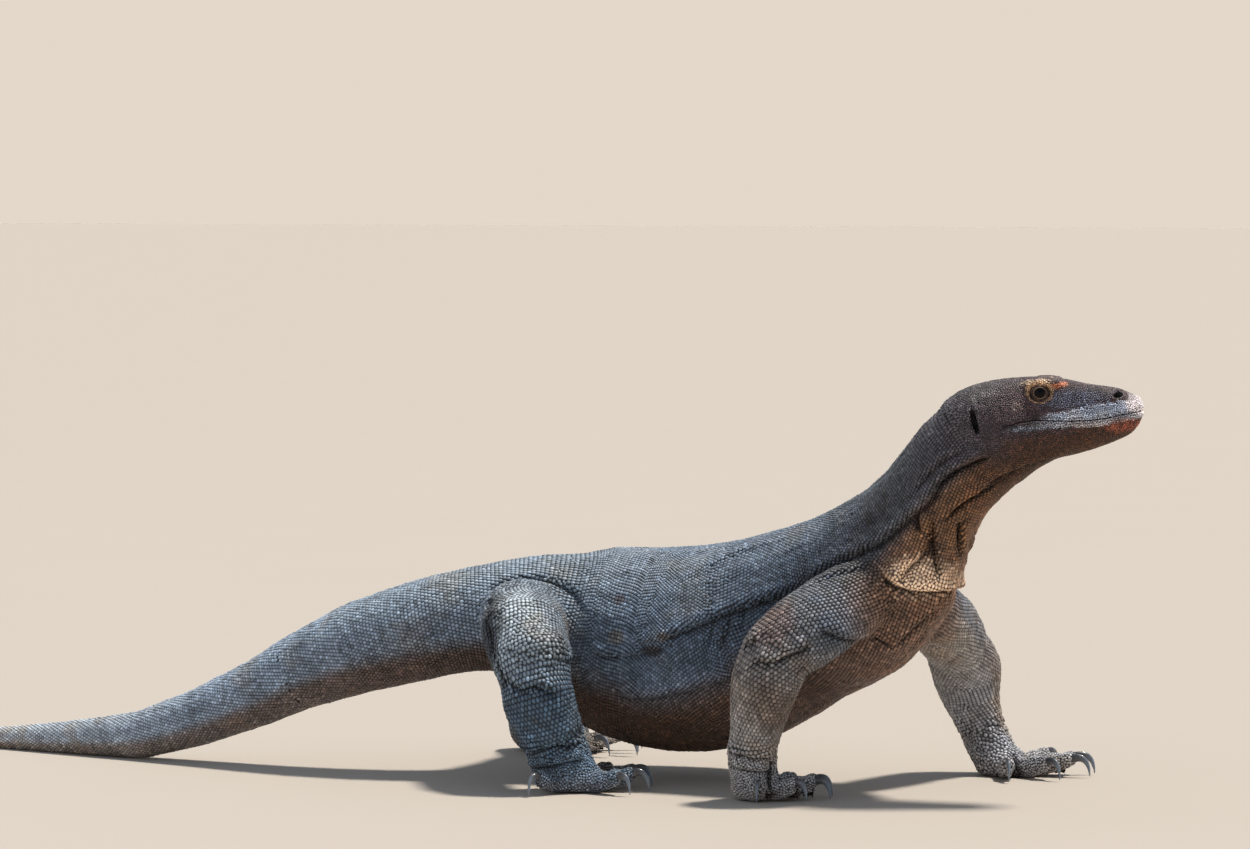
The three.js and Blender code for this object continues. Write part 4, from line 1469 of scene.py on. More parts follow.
    def _weathered(self, colours: Array, points: Array, normals: Array,
                   relief: Array) -> Array:
        """Adds mottling and stains, painted shade in the creases, a painted highlight on the crests, dust
        and earth.
        """
        mottle = 1.0 + 0.13 * drift(points, 0.11, 7.0) + 0.15 * drift(points, 0.034, 4.0)
        mottle = mottle + 0.13 * drift(points, 0.013)
        stain = 0.55 * smoothstep(0.15, 0.8, drift(points, 0.16, 11.0) + 0.5 * drift(points, 0.05, 3.0))
        tint = 1.0 - stain[:, None] * (1.0 - np.array(self.STAIN))
        # painted shade and painted highlight: the colour darkens where folds, wrinkles and slack sink the
        # skin, and lightens where they lift it
        crease = 1.0 - 0.68 * smoothstep(0.5 * MM, 4.5 * MM, -relief)
        crest = 1.0 + 0.40 * smoothstep(1.0 * MM, 5.0 * MM, relief)
        colours = colours * (mottle * crease * crest)[:, None] * tint
        dust = 0.12 * smoothstep(0.35, 0.95, normals[:, 2]) * (0.75 + 0.4 * drift(points, 0.07, 9.0))
        earth = 0.26 * (1.0 - smoothstep(0.0, 0.035, points[:, 2]))
        for weight, colour in ((dust, self.DUST), (earth, self.EARTH)):
            colours = tinted(colours, colour, np.clip(weight, 0.0, 1.0))
        return colours


# ---- the scales


class Bead:
    """One scale: a six-sided bead with a rounded top, its trailing side a little raised.

    It is one unit in radius and one high, with its lie along +X. Its base is sunk below the skin.
    """

    CORNERS = 6
    SINK = 0.35
    SHOULDER = 0.85
    SHOULDER_RISE = 0.58
    TILT = 0.20
    SHIFT = 0.05
    PATCH = 1.15 * MM
    BASE_PATCH = 0.35 * MM

    def __init__(self) -> None:
        """Models the bead and reads its points and triangles."""
        shape = bmesh.new()
        bmesh.ops.create_circle(shape, cap_ends=True, segments=self.CORNERS, radius=1.0)
        bmesh.ops.rotate(shape, verts=shape.verts, matrix=Matrix.Rotation(math.pi / 2, 3, "Z"))
        bmesh.ops.reverse_faces(shape, faces=shape.faces)
        risen = bmesh.ops.extrude_face_region(shape, geom=list(shape.faces), use_keep_orig=True)["geom"]
        top = [item for item in risen if isinstance(item, bmesh.types.BMVert)]
        lid = [item for item in risen if isinstance(item, bmesh.types.BMFace)]
        bmesh.ops.scale(shape, verts=top, vec=(self.SHOULDER, self.SHOULDER, 1.0))
        bmesh.ops.translate(shape, verts=top, vec=(self.SHIFT, 0.0, self.SHOULDER_RISE + self.SINK))
        apex = bmesh.ops.poke(shape, faces=lid)["verts"]
        bmesh.ops.translate(shape, verts=apex, vec=(self.SHIFT, 0.0, 1.0 - self.SHOULDER_RISE))
        bmesh.ops.translate(shape, verts=shape.verts, vec=(0.0, 0.0, -self.SINK))
        bmesh.ops.recalc_face_normals(shape, faces=shape.faces)
        bmesh.ops.triangulate(shape, faces=shape.faces)
        mesh = mesh_from(shape, "bead")
        self.points = points_of(mesh)
        self.triangles = np.array([tuple(polygon.vertices) for polygon in mesh.polygons])
        bpy.data.meshes.remove(mesh)
        self.crown = np.clip(self.points[:, 2], 0.0, 1.0)
        raised = self.points[:, 2] > 0.0
        self.points[raised, 2] += self.TILT * self.points[raised, 0]
        self.base = (self.points[self.triangles][:, :, 2] < 0.0).all(1)

    def patch(self) -> Array:
        """Gives each triangle's corners on the bake map, about the root, with the base beside the top."""
        corners = self.points[self.triangles][:, :, :2] * self.PATCH
        small = self.points[self.triangles][:, :, :2] * self.BASE_PATCH + np.array((1.65 * MM, 0.0))
        return np.where(self.base[:, None, None], small, corners)


class CoatPiece(Enum):
    """The pieces that the coat is divided into."""

    FACE = "scales_face"
    NAPE = "scales_head"
    NECK = "scales_neck"
    CHEST = "scales_chest"
    BELLY_RIGHT = "scales_belly_right"
    BELLY_LEFT = "scales_belly_left"
    HIPS = "scales_hips"
    TAIL_BASE = "scales_tail_base"
    TAIL_MIDDLE = "scales_tail_middle"
    TAIL_REAR = "scales_tail_rear"
    FORE_RIGHT = "scales_fore_right"
    FORE_LEFT = "scales_fore_left"
    HIND_RIGHT = "scales_hind_right"
    HIND_LEFT = "scales_hind_left"


PIECE_OF = {
    "head": CoatPiece.NAPE, "lower_jaw": CoatPiece.NAPE, "neck": CoatPiece.NECK, "chest": CoatPiece.CHEST,
    "belly": CoatPiece.BELLY_RIGHT, "hips": CoatPiece.HIPS, "tail_base": CoatPiece.TAIL_BASE,
    "tail_middle": CoatPiece.TAIL_MIDDLE, "tail_rear": CoatPiece.TAIL_REAR, "tail_tip": CoatPiece.TAIL_REAR,
    **{node: CoatPiece(f"scales_{kind}_{side}") for (kind, side), nodes in LIMBS.items() for node in nodes},
}


@dataclass
class Roots:
    """Where scales grow: spots on the skin, the triangles they lie on, and each one's spacing."""

    spots: Array
    faces: Array
    owners: Array
    along: Array
    across: Array
    loose: Array

    @property
    def gaps(self) -> Array:
        """The even spacing that matches each root's own."""
        return np.sqrt(self.along * self.across / ROW_STEP)

    def pick(self, chosen: Array) -> "Roots":
        """Keeps only the chosen roots."""
        return Roots(*(row[chosen] for row in vars(self).values()))

    @staticmethod
    def joined(groups: Sequence["Roots"]) -> "Roots":
        """Joins groups of roots in order."""
        return Roots(*map(np.concatenate, zip(*(vars(group).values() for group in groups))))


@dataclass
class Coat:
    """All the scales, laid over the skin."""

    anatomy: Anatomy
    face: Face
    skin: Skin
    markings: Markings
    spokes: int = 48
    reach: float = 0.22
    step_off: float = 14.0 * MM
    crowding: float = 5.0
    loose_share: float = 0.86
    row_share: float = 0.62
    easing: int = 3
    hole_share: float = 0.72
    row_yield: float = 0.30
    fullness: float = 0.99
    sole: float = 2.2 * MM
    bare_limit: float = 0.35
    lid_clear: float = 1.16
    face_length: float = 0.108
    neighbours: int = 10
    shortest: float = 0.68
    longest: float = 1.60
    widest: float = 1.50
    random: np.random.Generator = field(default_factory=lambda: np.random.default_rng(SEED))

    def build(self, material: Material) -> None:
        """Lays all the scales and joins them into the coat's pieces."""
        rows = [self._spine_rows(), *(self._limb_rows(key) for key in LIMBS), *self._lip_rows()]
        spare = self._grown(self._loose())
        candidates = Roots.joined([self._grown(Roots.joined(rows)), spare])
        roots = self._eased(self._thinned(candidates), self.easing)
        roots = self._eased(self._filled(roots, spare), 2)
        LOG.info("%d scales, %d of them loose", len(roots.spots), int(roots.loose.sum()))
        near = self._nearest(roots.spots)
        lies = self._lies(roots, near)
        self._dress(roots, near, lies, material)

    def _grown(self, roots: Roots) -> Roots:
        """Drops roots that lie in a pit or stand on the floor."""
        bare = self.skin.read(self.skin.bare, roots.spots, roots.faces)
        clear = (bare < self.bare_limit) & (roots.spots[:, 2] > self.sole)
        for side in SIDES.values():
            rearward, upward, outward = self.face.about_eye(roots.spots, side)
            off_lid = self.face.spread(rearward, upward, self.face.opening) > self.lid_clear
            clear &= off_lid | (outward < self.face.eye_depth)
        return roots.pick(clear)

    def _filled(self, roots: Roots, spare: Roots) -> Roots:
        """Adds spare roots where the coat has holes."""
        tree = search_tree(roots.spots)
        clear = np.array([tree.find(spot)[2] for spot in spare.spots])
        return Roots.joined([roots, self._thinned(spare.pick(clear > self.hole_share * spare.gaps))])

    def _ring(self, track: Track, length: float, across: float, shift: float) -> list[tuple[Vector, int]]:
        """Spaces spots evenly round a line, from its top down both sides.

        Args:
            track: The line.
            length: Where on the line the ring lies.
            across: The spacing round the ring.
            shift: The share of a spacing by which the ring starts off the top.

        Returns:
            Spots on the skin with the triangle of each.
        """
        middle, _, up, left = track.frame_at(length)
        angles = np.linspace(-math.pi, math.pi, self.spokes + 1)
        ways = np.cos(angles)[:, None] * up + np.sin(angles)[:, None] * left
        found = [track.solids.tree.ray_cast(middle, way, self.reach)[3] for way in ways]
        met = np.array([distance is not None for distance in found])
        if met.sum() < self.spokes // 2:
            return []
        radii = np.interp(angles, angles[met], [distance for distance in found if distance is not None])
        steps = np.linalg.norm(np.diff(ways * radii[:, None], axis=0), axis=1)
        arcs = np.concatenate(([0.0], np.cumsum(steps)))
        top = np.interp(0.0, angles, arcs)
        first = math.ceil(-top / across - shift)
        last = math.floor((arcs[-1] - top) / across - shift)
        places = top + (np.arange(first, last + 1) + shift) * across
        spots = []
        for angle in np.interp(places, arcs, angles):
            way = up * math.cos(angle) + left * math.sin(angle)
            spot, _, face, distance = self.skin.tree.ray_cast(middle, way, self.reach)
            if spot is not None and abs(distance - np.interp(angle, angles, radii)) < self.step_off:
                spots.append((spot, face))
        return spots

    def _rows(self, track: Track, start: float, stop: float, allowed: Sequence[str]) -> Roots:
        """Lays rings of scales along a line, each shifted half a space from the last.

        Args:
            track: The line.
            start: The length at which the rings start.
            stop: The length at which they end.
            allowed: The nodes whose skin the rings may lie on.

        Returns:
            The roots of the rings' scales.
        """
        found = []
        length, turn = start, 0
        stations = [track.length_near(np.mean(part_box(node), axis=0)) for node in allowed]
        lays = [LAYS[part_of(node)] for node in allowed]
        while length < stop:
            step = float(np.interp(length, stations, [lay.along for lay in lays]))
            space = float(np.interp(length, stations, [lay.across for lay in lays]))
            for spot, face in self._ring(track, length, space, 0.5 * (turn % 2)):
                owner = self.anatomy.flesh.owner(spot)
                if owner in allowed:
                    found.append((spot, face, owner, step, space))
            length, turn = length + step, turn + 1
        return Roots(*(np.array(column) for column in zip(*found)), np.zeros(len(found), bool))

    def _spine_rows(self) -> Roots:
        """Lays the rings of the tail, trunk and neck."""
        allowed = (*TAIL, *TRUNK, "neck")
        end = self.anatomy.spine.length_near(joint_between("neck", "head"))
        return self._rows(self.anatomy.spine, 6.0 * MM, end, allowed)

    def _limb_rows(self, key: tuple[str, str]) -> Roots:
        """Lays the rings of one leg, down to its wrist or ankle."""
        upper, lower, foot = LIMBS[key]
        track = self.anatomy.limbs[key]
        end = track.length_near(joint_between(lower, foot))
        return self._rows(track, 0.0, end, (upper, lower))

    def _lip_rows(self) -> Iterator[Roots]:
        """Lays the row of larger scales along each lip, round the snout."""
        length, width, back_end, reach = 3.0 * MM, 2.8 * MM, 0.158, 0.2
        head = self.face.head
        for offset, node in ((2.1 * MM, "head"), (-2.2 * MM, "lower_jaw")):
            rays = []
            middle = head.at(0.024, 0.0, float(self.face.mouth_at(np.array(0.004))) + offset)
            for angle in np.linspace(-80.0, 80.0, 21):
                turned = math.radians(angle)
                rays.append((middle, head.forward * math.cos(turned) + head.left * math.sin(turned)))
            for side in SIDES.values():
                for back in np.arange(0.026, back_end, length):
                    height = float(self.face.mouth_at(np.array(back))) + offset
                    rays.append((head.at(back, side * 0.12, height), -side * head.left))
            hits = [self.skin.tree.ray_cast(start, way, reach) for start, way in rays]
            found = [(spot, face) for spot, _, face, _ in hits if spot is not None]
            spots, faces = (np.array(column) for column in zip(*found))
            count = len(found)
            yield Roots(spots, faces, np.full(count, node, "<U20"), np.full(count, length),
                        np.full(count, width), np.zeros(count, bool))

    def _loose(self) -> Roots:
        """Scatters candidates over the whole skin, closest where the scales are smallest."""
        corners = self.skin.points[self.skin.triangles]
        middles = corners.mean(1)
        owners = self.anatomy.flesh.owners_of(middles)
        gaps = self._gap_at(middles, owners)
        doubled = np.cross(corners[:, 1] - corners[:, 0], corners[:, 2] - corners[:, 0])
        areas = 0.5 * np.linalg.norm(doubled, axis=1)
        weights = areas / gaps**2
        count = int(self.crowding * weights.sum() / ROW_STEP)
        faces = self.random.choice(len(weights), count, p=weights / weights.sum())
        shares = self.random.random((count, 2))
        over = shares.sum(1) > 1.0
        shares[over] = 1.0 - shares[over]
        first, second, third = (corners[faces, corner] for corner in range(3))
        spots = first + (second - first) * shares[:, :1] + (third - first) * shares[:, 1:]
        gap = gaps[faces]
        return Roots(spots, faces, owners[faces], gap * ROW_STEP, gap, np.ones(count, bool))

    def _gap_at(self, points: Array, owners: Array) -> Array:
        """Gives the spacing of loose scales at each point, smallest about the eyes and snout."""
        gaps = np.array([LAYS[part_of(owner)].gap for owner in owners])
        back, _, height = self.anatomy.head.measure(points)
        head = back < self.face.head_end
        crown = smoothstep(0.030, 0.040, height) * smoothstep(0.05, 0.09, back)
        crown = crown * (1.0 - smoothstep(0.15, 0.2, back))
        snout = 1.0 - smoothstep(0.02, 0.06, back)
        gaps = np.where(head, gaps * (1.0 + 0.18 * crown - 0.12 * snout), gaps)
        gaps = np.where(head, gaps * (1.0 + 0.35 * smoothstep(0.18, 0.24, back)), gaps)
        for side in SIDES.values():
            rearward, upward, outward = self.face.about_eye(points, side)
            ring = self.face.spread(rearward, upward, self.face.orbit)
            near = (1.0 - smoothstep(0.9, 1.5, ring)) * (outward > self.face.eye_depth) * head
            gaps = gaps + (2.0 * MM - gaps) * near
        return gaps

    def _thinned(self, roots: Roots) -> Roots:
        """Drops roots that crowd an earlier one."""
        tree = search_tree(roots.spots)
        loose, gaps = roots.loose.tolist(), roots.gaps.tolist()
        dropped = [False] * len(loose)
        for number, spot in enumerate(roots.spots.tolist()):
            if dropped[number]:
                continue
            near_row = self.row_share * gaps[number]
            for _, other, distance in tree.find_range(spot, self.loose_share * gaps[number]):
                if other > number and (loose[other] or distance < near_row):
                    dropped[other] = True
        return roots.pick(~np.array(dropped))

    def _eased(self, roots: Roots, rounds: int) -> Roots:
        """Pushes scales apart until they are evenly spaced on the skin; those in rows give way less."""
        spots, faces = roots.spots.copy(), roots.faces.copy()
        reaches = 1.15 * roots.gaps
        yields = np.where(roots.loose, 0.5, self.row_yield)
        for _ in range(rounds):
            tree = search_tree(spots)
            for number, reach in enumerate(reaches):
                here, push = Vector(spots[number]), Vector()
                for there, other, distance in tree.find_n(here, 7):
                    if other != number and distance < reach:
                        push += (here - there) * (0.4 * (reach - distance) / max(distance, 1e-6))
                spot, _, face, _ = self.skin.tree.find_nearest(here + push * yields[number])
                spots[number], faces[number] = spot, face
        return Roots(spots, faces, roots.owners, roots.along, roots.across, roots.loose)

    def _nearest(self, spots: Array) -> Array:
        """Lists each scale's ten nearest neighbours."""
        tree = search_tree(spots)
        count = self.neighbours + 1
        return np.array([[other for _, other, _ in tree.find_n(spot, count)][1:] for spot in spots])

    def _lies(self, roots: Roots, near: Array) -> Array:
        """Gives the direction in which each scale lies: towards the tail, or down the limb to the toes."""
        lies = -self.anatomy.spine.measure(roots.spots)[2]
        on_head = np.isin(roots.owners, HEAD)
        lies[on_head] = -np.array(self.anatomy.head.forward)
        for key, track in self.anatomy.limbs.items():
            own = np.isin(roots.owners, LIMBS[key])
            lies[own] = track.measure(roots.spots[own])[2]
            foot = roots.owners == LIMBS[key][2]
            ankle = track.frame_at(track.length_near(joint_between(*LIMBS[key][1:])))[0]
            outward = roots.spots[foot] - ankle
            low = smoothstep(0.055, 0.03, roots.spots[foot][:, 2])[:, None]
            lies[foot] = unit(lies[foot] * (1.0 - low) + unit(outward * (1.0, 1.0, 0.15)) * low)
        for _ in range(2):
            lies = unit(lies + lies[near[:, :6]].mean(1))
        return lies

    def _dress(self, roots: Roots, near: Array, lies: Array, material: Material) -> None:
        """Builds the coat's pieces.

        Args:
            roots: The scales' roots.
            near: Each scale's nearest neighbours.
            lies: Each scale's lie.
            material: The scales' finish.
        """
        count = len(roots.spots)
        normals = unit(self.skin.read(self.skin.normals, roots.spots, roots.faces))
        height = np.array([LAYS[part_of(owner)].height for owner in roots.owners])
        height *= self.random.uniform(0.82, 1.18, count) * self._crest(roots)
        jitter = self.random.normal(0.0, 0.05, (count, 3))
        tilted = unit(normals + jitter)
        ahead = unit(lies - tilted * (lies * tilted).sum(1)[:, None] + 0.8 * jitter)
        ahead = unit(ahead - tilted * (ahead * tilted).sum(1)[:, None])
        beside = np.cross(tilted, ahead)
        steps = roots.spots[near] - roots.spots[:, None]
        along = self._pitch(steps, ahead, beside, roots.along)
        across = self._pitch(steps, beside, ahead, roots.across)
        along = np.clip(along, self.shortest * roots.along, self.longest * roots.along)
        across = np.clip(across, self.shortest * roots.across, self.widest * roots.across)
        long = self.fullness * along * 2.0 / 3.0
        wide = self.fullness * across / math.sqrt(3.0)
        relief = self.skin.read(self.skin.relief, roots.spots, roots.faces)
        colours = self.markings.colour(roots.spots, normals, relief)
        spread = np.where(np.isin(roots.owners, HEAD), 0.42, 0.27)
        spread *= 1.0 - 0.45 * smoothstep(0.15, 0.45, colours.mean(1))
        colours = colours * np.clip(np.exp(self.random.normal(0.0, 1.0, count) * spread), 0.35, 2.4)[:, None]
        maps = self._roots_on_map(roots)
        pieces = self._pieces(roots)
        bead = Bead()
        for name in (piece.value for piece in CoatPiece):
            own = pieces == name
            axes = np.stack([ahead[own] * long[own, None], beside[own] * wide[own, None],
                             tilted[own] * height[own, None]], 1)
            points = roots.spots[own][:, None] + np.einsum("pa,nac->npc", bead.points, axes)
            points[:, :, 2] = np.maximum(points[:, :, 2], 0.0)
            mesh = self._joined(points, bead, colours[own], maps[own])
            piece_from(name, mesh, material)

    @staticmethod
    def _pitch(steps: Array, way: Array, aside: Array, usual: Array) -> Array:
        """Measures how far apart scales lie one way.

        Args:
            steps: The steps from each scale to its nearest neighbours.
            way: The way in which the pitch is measured, for each scale.
            aside: The way across it.
            usual: The pitch where there is no neighbour that way.

        Returns:
            The mean of the pitches forwards and backwards.
        """
        forward = np.einsum("nkc,nc->nk", steps, way)
        sideways = np.abs(np.einsum("nkc,nc->nk", steps, aside))
        distance = np.linalg.norm(steps, axis=2)
        pitches = []
        for sign in (1.0, -1.0):
            inside = sign * forward > 0.95 * sideways
            nearest = np.argmin(np.where(inside, distance, np.inf), axis=1)
            found = sign * np.take_along_axis(forward, nearest[:, None], 1)[:, 0]
            pitches.append(np.where(inside.any(1), found, usual))
        return 0.5 * (pitches[0] + pitches[1])

    def _crest(self, roots: Roots) -> Array:
        """Gives how much taller the scales along the top of the tail stand."""
        lengths, angles, _ = self.anatomy.spine.measure(roots.spots)
        tail = 1.0 - smoothstep(self.anatomy.stations["tail_base"], self.anatomy.stations["hips"], lengths)
        return 1.0 + 0.9 * tail * bump_of(angles, math.radians(9.0)) * np.isin(roots.owners, TAIL)

    def _roots_on_map(self, roots: Roots) -> Array:
        """Unrolls the skin of each piece: along its line one way, and round it the other."""
        lengths, angles, _ = self.anatomy.spine.measure(roots.spots)
        for key, track in self.anatomy.limbs.items():
            own = np.isin(roots.owners, LIMBS[key])
            lengths[own], angles[own], _ = track.measure(roots.spots[own])
        on_head = np.isin(roots.owners, HEAD)
        back, left, height = self.anatomy.head.measure(roots.spots[on_head])
        lengths[on_head], angles[on_head] = back, np.arctan2(left, height)
        maps = np.stack([lengths, angles / math.tau + 0.5], 1)
        pieces = self._pieces(roots)
        for name in np.unique(pieces):
            own = pieces == name
            low, high = maps[own].min(0), maps[own].max(0)
            maps[own] = (maps[own] - low) / (high - low)
        return 0.01 + 0.98 * maps

    def _pieces(self, roots: Roots) -> Array:
        """Names the coat's piece that each scale belongs to."""
        pieces = np.array([PIECE_OF[owner].value for owner in roots.owners])
        on_face = self.anatomy.head.measure(roots.spots)[0] < self.face_length
        pieces[on_face & (pieces == CoatPiece.NAPE.value)] = CoatPiece.FACE.value
        belly = pieces == CoatPiece.BELLY_RIGHT.value
        angles = self.anatomy.spine.measure(roots.spots[belly])[1]
        pieces[belly] = np.where(angles > 0.0, CoatPiece.BELLY_LEFT.value, CoatPiece.BELLY_RIGHT.value)
        return pieces

    @staticmethod
    def _joined(points: Array, bead: Bead, colours: Array, maps: Array) -> Mesh:
        """Joins many scales into one mesh.

        Args:
            points: Each scale's points.
            bead: The scale they are copies of.
            colours: Each scale's colour.
            maps: Each scale's root on the bake map.

        Returns:
            The mesh, with its colours, crowns and bake map.
        """
        count, corners = len(points), len(bead.points)
        triangles = (bead.triangles[None] + corners * np.arange(count)[:, None, None]).reshape(-1, 3)
        mesh = bpy.data.meshes.new("scales")
        mesh.vertices.add(count * corners)
        mesh.vertices.foreach_set("co", points.ravel())
        mesh.loops.add(triangles.size)
        mesh.loops.foreach_set("vertex_index", triangles.ravel().astype(np.int32))
        mesh.polygons.add(len(triangles))
        mesh.polygons.foreach_set("loop_start", np.arange(0, triangles.size, 3, dtype=np.int32))
        layer = mesh.uv_layers.new(name="OFBake")
        flat = (maps[:, None, None] + bead.patch()[None]).reshape(-1)
        layer.uv.foreach_set("vector", flat.astype(np.float32))
        mesh.update(calc_edges=True)
        write_attribute(mesh, "marking", np.repeat(colours, corners, axis=0))
        write_attribute(mesh, "crown", np.tile(bead.crown, count))
        return mesh


# ---- eyes, lids and claws


@dataclass
class Eye:
    """One eyeball with its clear bulge, and the two lids that hold it."""

    side: str
    face: Face
    rings: int = 28
    segments: int = 40
    bulge: float = 0.6 * MM
    lid_thickness: float = 0.6 * MM
    lid_height: float = 1.0 * MM

    def build(self, eye_finish: Material, hide: Material, markings: Markings) -> None:
        """Makes the eyeball and the lids.

        Args:
            eye_finish: The eyeball's finish.
            hide: The finish of bare skin.
            markings: The hide's colours.
        """
        ball = piece_from(f"eyeball_{self.side}", self._ball(), eye_finish)
        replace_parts(ball, f"eye_{self.side}")
        lids = self._lids()
        count = len(lids.vertices)
        write_attribute(lids, "marking", np.tile(linear(*markings.LID) * 0.42, (count, 1)))
        write_attribute(lids, "crown", np.full(count, 0.5))
        piece_from(f"lids_{self.side}", lids, hide)

    def _turned(self, shape: bmesh.types.BMesh) -> None:
        """Turns a shape's +Z to face out of the head, and puts it at the eye's middle."""
        sign = SIDES[self.side]
        head = self.face.head
        gaze = (head.left * sign + head.forward * 0.10 + head.height * 0.03).normalized()
        rearward = (-head.forward - gaze * gaze.dot(-head.forward)).normalized()
        upward = gaze.cross(rearward)
        turn = Matrix((rearward, upward, gaze)).transposed()
        bmesh.ops.rotate(shape, verts=shape.verts, matrix=turn)
        bmesh.ops.translate(shape, verts=shape.verts, vec=self.face.eye_middle(sign))

    def _ball(self) -> Mesh:
        """Makes the eyeball, with the distance from its pupil's middle in an attribute."""
        shape = bmesh.new()
        radius = self.face.eye_radius
        bmesh.ops.create_uvsphere(shape, u_segments=self.segments, v_segments=self.rings, radius=radius)
        for vertex in shape.verts:
            off_axis = math.hypot(vertex.co.x, vertex.co.y) / radius
            if vertex.co.z > 0.0:
                vertex.co *= 1.0 + self.bulge / radius * max(0.0, 1.0 - (off_axis / 0.62) ** 2)
        gaze = [math.atan2(math.hypot(v.co.x, v.co.y), v.co.z) / (math.pi / 2) for v in shape.verts]
        self._turned(shape)
        mesh = mesh_from(shape, "eyeball")
        write_attribute(mesh, "gaze", np.array(gaze))
        return mesh

    def _lids(self) -> Mesh:
        """Makes the rolled edge of the lids: a ring spun round the gaze and pressed to the eye's oval."""
        shape = bmesh.new()
        bmesh.ops.create_circle(shape, segments=10, radius=1.0)
        bmesh.ops.rotate(shape, verts=shape.verts, matrix=Matrix.Rotation(math.pi / 2, 3, "X"))
        bmesh.ops.translate(shape, verts=shape.verts, vec=(4.0, 0.0, 0.0))
        bmesh.ops.spin(shape, geom=shape.verts[:] + shape.edges[:], axis=(0, 0, 1), cent=(0, 0, 0),
                       angle=math.tau, steps=44, use_merge=True)
        bmesh.ops.remove_doubles(shape, verts=shape.verts, dist=1e-5)
        bmesh.ops.recalc_face_normals(shape, faces=shape.faces)
        long, tall = self.face.opening
        surface = self.face.eye_radius + 0.15 * MM
        for vertex in shape.verts:
            turn = math.atan2(vertex.co.y, vertex.co.x)
            outward = (math.hypot(vertex.co.x, vertex.co.y) - 4.0) * self.lid_thickness
            pinch = 1.0 + 0.05 * math.cos(2.0 * turn)
            back = (long * pinch + outward) * math.cos(turn)
            up = (tall + outward) * math.sin(turn)
            rise = math.sqrt(max(surface**2 - back**2 - up**2, 0.0))
            vertex.co = (back, up, rise + vertex.co.z * self.lid_height)
        self._turned(shape)
        return mesh_from(shape, "lids")


@dataclass
class ClawSet:
    """The five claws of one foot."""

    kind: str
    side: str

    def build(self, horn: Material) -> None:
        """Makes the claws as one piece in place of their five nodes."""
        nodes = claw_nodes(self.kind, self.side)
        shape = bmesh.new()
        for node in nodes:
            shape.from_mesh(Claw(node).mesh())
        piece = piece_from(f"claws_{self.kind}_{self.side}", mesh_from(shape, "claws"), horn)
        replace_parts(piece, *nodes)


# ---- finishes


class Signal:
    """A node's output, with arithmetic that adds Math nodes."""

    def __init__(self, paint: "Paint", socket: bpy.types.NodeSocket) -> None:
        """Keeps the socket and the node tree it is in."""
        self.paint = paint
        self.socket = socket

    def _math(self, operation: str, first: "Signal | float", second: "Signal | float") -> "Signal":
        """Adds one Math node."""
        return self.paint.node("ShaderNodeMath", {"operation": operation}, {0: first, 1: second})

    def __add__(self, other: "Signal | float") -> "Signal":
        """Adds."""
        return self._math("ADD", self, other)

    __radd__ = __add__

    def __sub__(self, other: "Signal | float") -> "Signal":
        """Subtracts."""
        return self._math("SUBTRACT", self, other)

    def __rsub__(self, other: float) -> "Signal":
        """Subtracts from a number."""
        return self._math("SUBTRACT", other, self)

    def __mul__(self, other: "Signal | float") -> "Signal":
        """Multiplies."""
        return self._math("MULTIPLY", self, other)

    __rmul__ = __mul__

    def __pow__(self, other: float) -> "Signal":
        """Raises to a power."""
        return self._math("POWER", self, other)

    def above(self, low: float, high: float) -> "Signal":
        """Rises smoothly from 0 at low to 1 at high."""
        settings = {"interpolation_type": "SMOOTHSTEP"}
        return self.paint.node("ShaderNodeMapRange", settings, {0: self, 1: low, 2: high})


class Paint:
    """A material's node tree, ending in one Principled shader."""

    def __init__(self, name: str) -> None:
        """Starts a material with an empty node tree."""
        self.material = bpy.data.materials.new(name)
        self.material.use_nodes = True
        self.tree = self.material.node_tree
        self.tree.nodes.clear()

    def node(self, kind: str, settings: dict[str, object] | None = None,
             inputs: dict[int | str, object] | None = None, output: int | str = 0) -> Signal:
        """Adds a node.

        Args:
            kind: The node's type.
            settings: Its settings, which are set first.
            inputs: The values or links of its sockets.
            output: Which output is wanted.

        Returns:
            The wanted output.
        """
        made = self.tree.nodes.new(kind)
        for name, value in (settings or {}).items():
            setattr(made, name, value)
        for name, value in (inputs or {}).items():
            if isinstance(value, Signal):
                self.tree.links.new(value.socket, made.inputs[name])
            else:
                made.inputs[name].default_value = value
        return Signal(self, made.outputs[output])

    def place(self) -> Signal:
        """Gives the place on the piece."""
        return self.node("ShaderNodeTexCoord", output="Object")

    def noise(self, scale: float, detail: float = 3.0) -> Signal:
        """Gives a noise of about 0 to 1 over the piece."""
        inputs = {"Vector": self.place(), "Scale": scale, "Detail": detail}
        return self.node("ShaderNodeTexNoise", inputs=inputs)

    def attribute(self, name: str, output: str = "Fac") -> Signal:
        """Reads a value that the mesh holds."""
        return self.node("ShaderNodeAttribute", {"attribute_name": name}, output=output)

    def blend(self, factor: Signal | float, first: object, second: object, kind: str = "MIX") -> Signal:
        """Mixes two colours."""
        settings = {"data_type": "RGBA", "blend_type": kind}
        return self.node("ShaderNodeMix", settings, {0: factor, 6: first, 7: second}, output=2)

    def raised(self, height: Signal, strength: float, distance: float) -> Signal:
        """Turns a height into a bumped normal."""
        inputs = {"Height": height, "Strength": strength, "Distance": distance}
        return self.node("ShaderNodeBump", inputs=inputs)

    def finish(self, inputs: dict[str, object]) -> Material:
        """Ends the tree in a Principled shader with these inputs."""
        shader = self.node("ShaderNodeBsdfPrincipled", inputs=inputs)
        end = self.tree.nodes.new("ShaderNodeOutputMaterial")
        self.tree.links.new(shader.socket, end.inputs["Surface"])
        return self.material


def rgba(red: float, green: float, blue: float) -> tuple[float, float, float, float]:
    """Turns a screen colour of 0 to 255 into a socket's value."""
    return (*linear(red, green, blue), 1.0)


